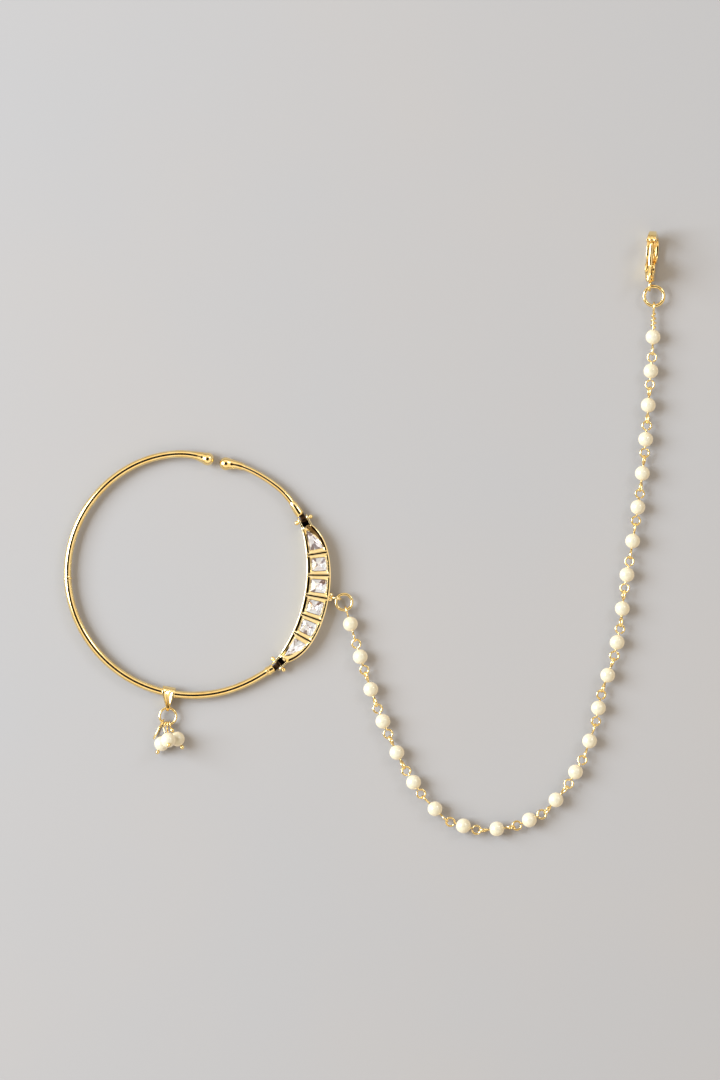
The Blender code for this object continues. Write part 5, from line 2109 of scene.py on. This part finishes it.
@dataclass(frozen=True)
class Clasp:
    """A claw clasp seen edge-on: a cast body with its eye, a lever and a rivet.

    Its own frame has X along its length, Y across its width and Z through its thickness. Outlines
    and the pivot are shares of the length and the width, and rows are shares of the length with a
    factor on the thickness or on the flutes' depth.
    """

    ring_at: Vector
    ring_radius: float = 1.95 * MM
    ring_wire: float = 0.35 * MM
    ring_height: float = 1.5 * MM
    clearance: float = 0.10 * MM
    eye_heading: float = 110.5
    heading: float = 86.0
    roll: float = 7.0
    eye_radius: float = 1.0 * MM
    eye_wire: float = 0.25 * MM
    length: float = 9.9 * MM
    width: float = 6.0 * MM
    thickness: float = 2.4 * MM
    eye_share: float = 0.20
    neck_radius: float = 0.65 * MM
    neck_length: float = 0.8 * MM
    neck_seat: float = 0.4
    lever_thickness: float = 0.8 * MM
    lever_gap: float = 0.15 * MM
    flute: float = 0.20 * MM
    flute_depth: float = 0.34 * MM
    flute_rows: Rows = ((0.0, 1.0), (0.60, 1.0), (0.74, 0.50), (0.80, 0.35), (1.0, 0.20))
    core_share: float = 0.97
    nose_start: tuple[float, float] = (0.70, 0.55)
    nose_pinch: float = 3.2
    body_rounds: int = 24
    lever_rounds: int = 50
    lever_dome: float = 0.16 * MM
    dome_start: float = 0.8 * MM
    rivet_radius: float = 0.35 * MM
    rivet_clearance: float = 0.06 * MM
    rivet_proud: float = 0.1 * MM
    rivet_flat: float = 0.8
    grain: float = 0.06 * MM
    lever_grain: float = 0.048 * MM
    sharp: float = 70.0
    pivot: tuple[float, float] = (0.19, 0.66)
    body_outline: Rows = (
        (0.00, 0.14), (0.12, 0.03), (0.35, 0.01), (0.65, 0.01), (0.88, 0.12), (1.00, 0.42),
        (0.98, 0.72), (0.89, 0.92), (0.79, 0.98), (0.775, 0.84), (0.84, 0.70), (0.855, 0.50),
        (0.78, 0.30), (0.60, 0.23), (0.45, 0.27), (0.37, 0.42), (0.35, 0.65), (0.31, 0.82),
        (0.18, 0.86), (0.06, 0.62), (0.00, 0.36),
    )
    body_rows: Rows = (
        (0.0, 0.70), (0.25, 0.80), (0.55, 1.0), (0.80, 0.98), (0.93, 0.80), (1.0, 0.56),
    )
    lever_outline: Rows = (
        (0.10, 0.62), (0.15, 0.53), (0.24, 0.54), (0.31, 0.68), (0.42, 0.77), (0.60, 0.83),
        (0.742, 0.85), (0.750, 0.94), (0.60, 0.96), (0.42, 0.94), (0.30, 0.92), (0.22, 0.98),
        (0.12, 1.05), (0.00, 1.08), (-0.02, 1.04), (0.05, 0.98), (0.10, 0.88),
    )
    lever_rows: Rows = ((0.0, 1.0), (0.55, 1.0), (0.75, 0.8))
    slot: tuple[tuple[float, float], tuple[float, float]] = ((0.055, 0.46), (0.40, 1.10))

    def outline(self, shares: Sequence[tuple[float, float]], inset: float = 0.0) -> list[Vector]:
        """A smooth outline in the clasp's plane.

        Args:
            shares: Corners as shares of the clasp's length and width.
            inset: How far the outline is drawn inwards.

        Returns:
            The outline.
        """
        loop = smooth_loop([(x * self.length, y * self.width) for x, y in shares], 6)
        if inset == 0.0:
            return loop
        inner = []
        for index, point in enumerate(loop):
            along = (loop[(index + 1) % len(loop)] - loop[index - 1]).normalized()
            depth = inset * read_table(self.flute_rows, point.x / self.length)
            inner.append(point + UP.cross(along) * depth)
        return inner

    def bore(self) -> Shape:
        """What is cut away for the rivet, in the clasp's own frame."""
        reach = UP * self.thickness
        return rod(self.hub - reach, self.hub + reach, self.rivet_radius + self.rivet_clearance)

    @property
    def hub(self) -> Vector:
        """Where the rivet passes, in the clasp's own frame."""
        return Vector((self.pivot[0] * self.length, self.pivot[1] * self.width, 0.0))

    def layer(self, outline: Sequence[Vector], low: float, high: float) -> Shape:
        """A flat layer of the body.

        Args:
            outline: Its outline.
            low: The height of its underside over the body's middle plane.
            high: The height of its top.

        Returns:
            The layer.
        """
        shape = plate(outline, high - low)
        bmesh.ops.translate(shape, vec=UP * (low + high) / 2, verts=shape.verts)
        return shape

    def body(self) -> Shape:
        """Three fluted bands over a core, cut open for the lever.

        Returns:
            The body, in the clasp's own frame.
        """
        half = self.thickness / 2
        slot_half = self.lever_thickness / 2 + self.lever_gap
        core_half = half * self.core_share
        band_half = slot_half - self.flute / 2
        outer = self.outline(self.body_outline)
        inner = self.outline(self.body_outline, self.flute_depth)
        (x0, y0), (x1, y1) = self.slot
        low = Vector((x0 * self.length, y0 * self.width, -slot_half))
        high = Vector((x1 * self.length, y1 * self.width, slot_half))
        shape = bmesh.new()
        for outline, reach in ((inner, core_half), (outer, band_half)):
            merge(shape, carve(self.layer(outline, -reach, reach), [box(low, high), self.bore()]))
        for side in (-1, 1):
            near, far = sorted((side * (slot_half + self.flute / 2), side * half))
            merge(shape, carve(self.layer(outer, near, far), [self.bore()]))
        bmesh.ops.triangulate(shape, faces=shape.faces)
        shape = cast(shape, self.grain, self.body_rounds)
        for vertex in shape.verts:
            along, across = vertex.co.x / self.length, vertex.co.y / self.width
            nose = max(along - self.nose_start[0], 0.0) * max(across - self.nose_start[1], 0.0)
            vertex.co.z *= read_table(self.body_rows, along) * (1.0 - self.nose_pinch * nose)
        return shape

    def lever(self) -> Shape:
        """The lever with its eased back.

        Returns:
            The lever, in the clasp's own frame.
        """
        shape = carve(plate(self.outline(self.lever_outline), self.lever_thickness), [self.bore()])
        bmesh.ops.triangulate(shape, faces=shape.faces)
        shape = cast(shape, self.lever_grain, self.lever_rounds)
        for vertex in shape.verts:
            side = vertex.co.z / (self.lever_thickness / 2)
            away = (vertex.co - self.hub).xy.length - self.dome_start
            vertex.co.y -= self.lever_dome * min(max(away / MM, 0.0), 1.0) * side**2
            vertex.co.z *= read_table(self.lever_rows, vertex.co.x / self.length)
        return shape

    def rivet(self) -> Shape:
        """The rivet, whose heads stand proud of the body.

        Returns:
            The rivet, in the clasp's own frame.
        """
        thickness = self.thickness * read_table(self.body_rows, self.pivot[0])
        reach = thickness / 2 + self.rivet_proud
        edge = self.rivet_radius * self.rivet_flat
        shoulder = reach - self.rivet_radius + edge
        profile = [(0.0, reach), (edge, reach), (self.rivet_radius, shoulder)]
        profile += [(radius, -height) for radius, height in reversed(profile)]
        return turned(profile, Matrix.Translation(self.hub), 28)

    def neck(self) -> Shape:
        """The swelling that joins the eye to the body, its middle at the origin."""
        size = Matrix.Diagonal((self.neck_radius, self.neck_radius, self.neck_length, 1.0))
        return turned(ball_profile(1.0, 16), size, 28)

    def build(self, bench: Bench) -> None:
        """Seats the clasp on its ring and delivers the body, the lever and the rivet.

        Args:
            bench: Where the pieces are delivered.
        """
        slack = self.eye_radius - self.eye_wire - self.ring_wire - self.clearance
        eye = self.ring_at + way(self.eye_heading) * (self.ring_radius + slack)
        roll = math.radians(self.roll)
        lengthwise = way(self.heading)
        width_way = way(self.heading + 90.0) * math.sin(roll) + UP * math.cos(roll)
        thick_way = lengthwise.cross(width_way)
        floor = self.ring_at.z - self.ring_height
        lift = floor + self.thickness / 2 * math.sin(roll)
        neck_height = self.eye_share * self.width
        origin = eye + lengthwise * (self.eye_radius - self.eye_wire / 2) - width_way * neck_height
        origin.z = lift
        eye.z = lift + neck_height * math.cos(roll)
        matrix = frame_at(origin, lengthwise, width_way, thick_way)
        body, lever, rivet = self.body(), self.lever(), self.rivet()
        for shape in (body, lever, rivet):
            bmesh.ops.transform(shape, matrix=matrix, verts=shape.verts)
        eye_frame = frame_at(eye, lengthwise, width_way, thick_way)
        merge(body, torus(eye_frame, self.eye_radius, self.eye_wire))
        neck = self.neck()
        neck_at = eye + lengthwise * (self.eye_radius + self.neck_length * self.neck_seat)
        bmesh.ops.transform(neck, matrix=facing(neck_at, lengthwise), verts=neck.verts)
        merge(body, neck)
        for shape, name, group, node, sharp in (
            (body, "claw_body", Body.CRESCENT, "clasp_body", self.sharp),
            (lever, "claw_lever", Body.LEVER, "clasp_lever", self.sharp),
            (rivet, "claw_rivet", Body.CRESCENT, "clasp_rivet", SHARP_ANGLE),
        ):
            bench.deliver(shape, name, group, [bench.gold], [node], sharp)


@dataclass(frozen=True)
class Lamp:
    """A soft panel aimed at the jewel."""

    name: str
    place: tuple[float, float, float]
    size: tuple[float, float]
    watts: float


@dataclass(frozen=True)
class Studio:
    """The pale surface, the soft lights and the camera over the jewel."""

    look_at: tuple[float, float] = (-0.87 * MM, -1.24 * MM)
    frame_height: float = 216.0 * MM
    lens: float = 180.0
    sensor: float = 36.0
    clip: tuple[float, float] = (0.01, 20.0)
    floor_size: float = 3.0
    floor_cells: int = 8
    floor_colour: Colour = (0.386, 0.378, 0.389)
    floor_warm: Colour = (0.397, 0.380, 0.382)
    floor_below: float = 0.35
    warm_above: float = 0.70
    floor_roughness: float = 0.65
    floor_patch: float = 60.0 * MM
    floor_grain: float = 0.4 * MM
    floor_grain_depth: float = 0.004 * MM
    sky: Rows = (
        (0.0, 0.42), (0.28, 0.58), (0.40, 1.22), (0.80, 1.27),
        (0.865, 1.22), (0.882, 0.02), (1.0, 0.012),
    )
    sky_tint: Colour = (1.0, 0.87, 0.69)
    sky_strength: float = 0.95
    lamp_tint: Colour = (0.80, 0.925, 1.04)
    lamps: tuple[Lamp, ...] = (
        Lamp("key", (-0.95, 0.17, 0.68), (0.76, 0.78), 21.6),
        Lamp("kicker", (0.55, 0.42, 0.62), (0.16, 0.22), 0.9),
    )

    def floor(self) -> None:
        """Lays the surface that the jewel lies on."""
        recipe = Recipe("pale_surface")
        stops = [(self.floor_below, self.floor_colour), (self.warm_above, self.floor_warm)]
        shade = recipe.ramp(recipe.noise(self.floor_patch, detail=2.0), stops)
        recipe.join(shade, recipe.shader.inputs["Base Color"])
        recipe.set_inputs(Roughness=self.floor_roughness)
        recipe.relief([(recipe.noise(self.floor_grain, detail=2.0), self.floor_grain_depth)])
        shape = bmesh.new()
        cells = self.floor_cells
        bmesh.ops.create_grid(shape, x_segments=cells, y_segments=cells, size=self.floor_size / 2)
        mesh = bpy.data.meshes.new("floor")
        shape.to_mesh(mesh)
        shape.free()
        mesh.materials.append(recipe.material)
        floor = bpy.data.objects.new("floor", mesh)
        bpy.context.scene.collection.objects.link(floor)

    def camera(self) -> None:
        """Hangs the camera over the jewel, looking straight down."""
        data = bpy.data.cameras.new("camera")
        data.lens = self.lens
        data.sensor_width = self.sensor
        data.clip_start, data.clip_end = self.clip
        camera = bpy.data.objects.new("camera", data)
        camera.location = (*self.look_at, self.frame_height * self.lens / self.sensor)
        bpy.context.scene.collection.objects.link(camera)
        bpy.context.scene.camera = camera

    def light(self, lamp: Lamp) -> None:
        """Sets up a lamp.

        Args:
            lamp: The lamp.
        """
        data = bpy.data.lights.new(lamp.name, "AREA")
        data.shape = "RECTANGLE"
        data.size, data.size_y = lamp.size
        data.energy = lamp.watts
        data.color = self.lamp_tint
        panel = bpy.data.objects.new(lamp.name, data)
        panel.location = lamp.place
        panel.rotation_euler = (-Vector(lamp.place)).to_track_quat("-Z", "Y").to_euler()
        bpy.context.scene.collection.objects.link(panel)

    def tent(self) -> None:
        """A pale light tent with a dark opening straight overhead."""
        world = bpy.data.worlds.new("tent")
        bpy.context.scene.world = world
        world.use_nodes = True
        tree = world.node_tree
        place = tree.nodes.new("ShaderNodeTexCoord")
        split = tree.nodes.new("ShaderNodeSeparateXYZ")
        ramp = tree.nodes.new("ShaderNodeValToRGB")
        tree.links.new(place.outputs["Generated"], split.inputs["Vector"])
        tree.links.new(split.outputs["Z"], ramp.inputs["Fac"])
        stops = [(spot, tuple(value * part for part in self.sky_tint)) for spot, value in self.sky]
        fill_ramp(ramp, stops)
        backdrop = tree.nodes["Background"]
        tree.links.new(ramp.outputs["Color"], backdrop.inputs["Color"])
        backdrop.inputs["Strength"].default_value = self.sky_strength

    def build(self) -> None:
        """Sets the whole studio."""
        self.floor()
        self.camera()
        self.tent()
        for lamp in self.lamps:
            self.light(lamp)
        bpy.context.scene.view_settings.view_transform = "Standard"
        bpy.context.scene.view_settings.look = "None"


def main() -> None:
    """Builds the studio and the jewel, and reports each piece."""
    logging.basicConfig(level=logging.INFO, format="%(message)s")
    Studio().build()
    bench = Bench()
    layout = Layout.from_record()
    upper, lower = Hinge(layout, 1), Hinge(layout, -1)
    long_arc = RingArc(
        name="long_tube",
        node="ring_long_arc",
        body=Body.LONG_ARC,
        hinge=lower,
        ball_angle=81.4,
        tube_radius=0.75 * MM,
        ferrule_length=1.7 * MM,
        rows=(
            (0.00, 1.035), (0.04, 1.016), (0.12, 1.003), (0.25, 0.992), (0.40, 0.994),
            (0.58, 1.008), (0.83, 1.008), (0.92, 0.998), (0.96, 0.985), (1.00, 0.958),
        ),
        collar_angle=182.0,
    )
    short_arc = RingArc(
        name="short_tube",
        node="ring_short_arc",
        body=Body.SHORT_ARC,
        hinge=upper,
        ball_angle=72.1,
        tube_radius=0.6 * MM,
        ferrule_length=3.1 * MM,
        rows=(
            (0.00, 1.035), (0.10, 1.027), (0.35, 1.020), (0.48, 1.009),
            (0.61, 0.998), (0.74, 0.989), (0.87, 0.978), (1.00, 0.955),
        ),
    )
    long_arc.build(bench)
    short_arc.build(bench)
    Crescent(layout, (upper, lower)).build(bench)
    share = lower.degrees_to(Drop.angle) / lower.degrees_to(long_arc.ball_angle)
    Drop(long_arc.place(long_arc.total() * share)).build(bench)
    PearlChain().build(bench)
    Clasp(cad_middle("clasp_ring")).build(bench)
    LOG.info("%d pieces", bench.count)


if __name__ == "__main__":
    main()
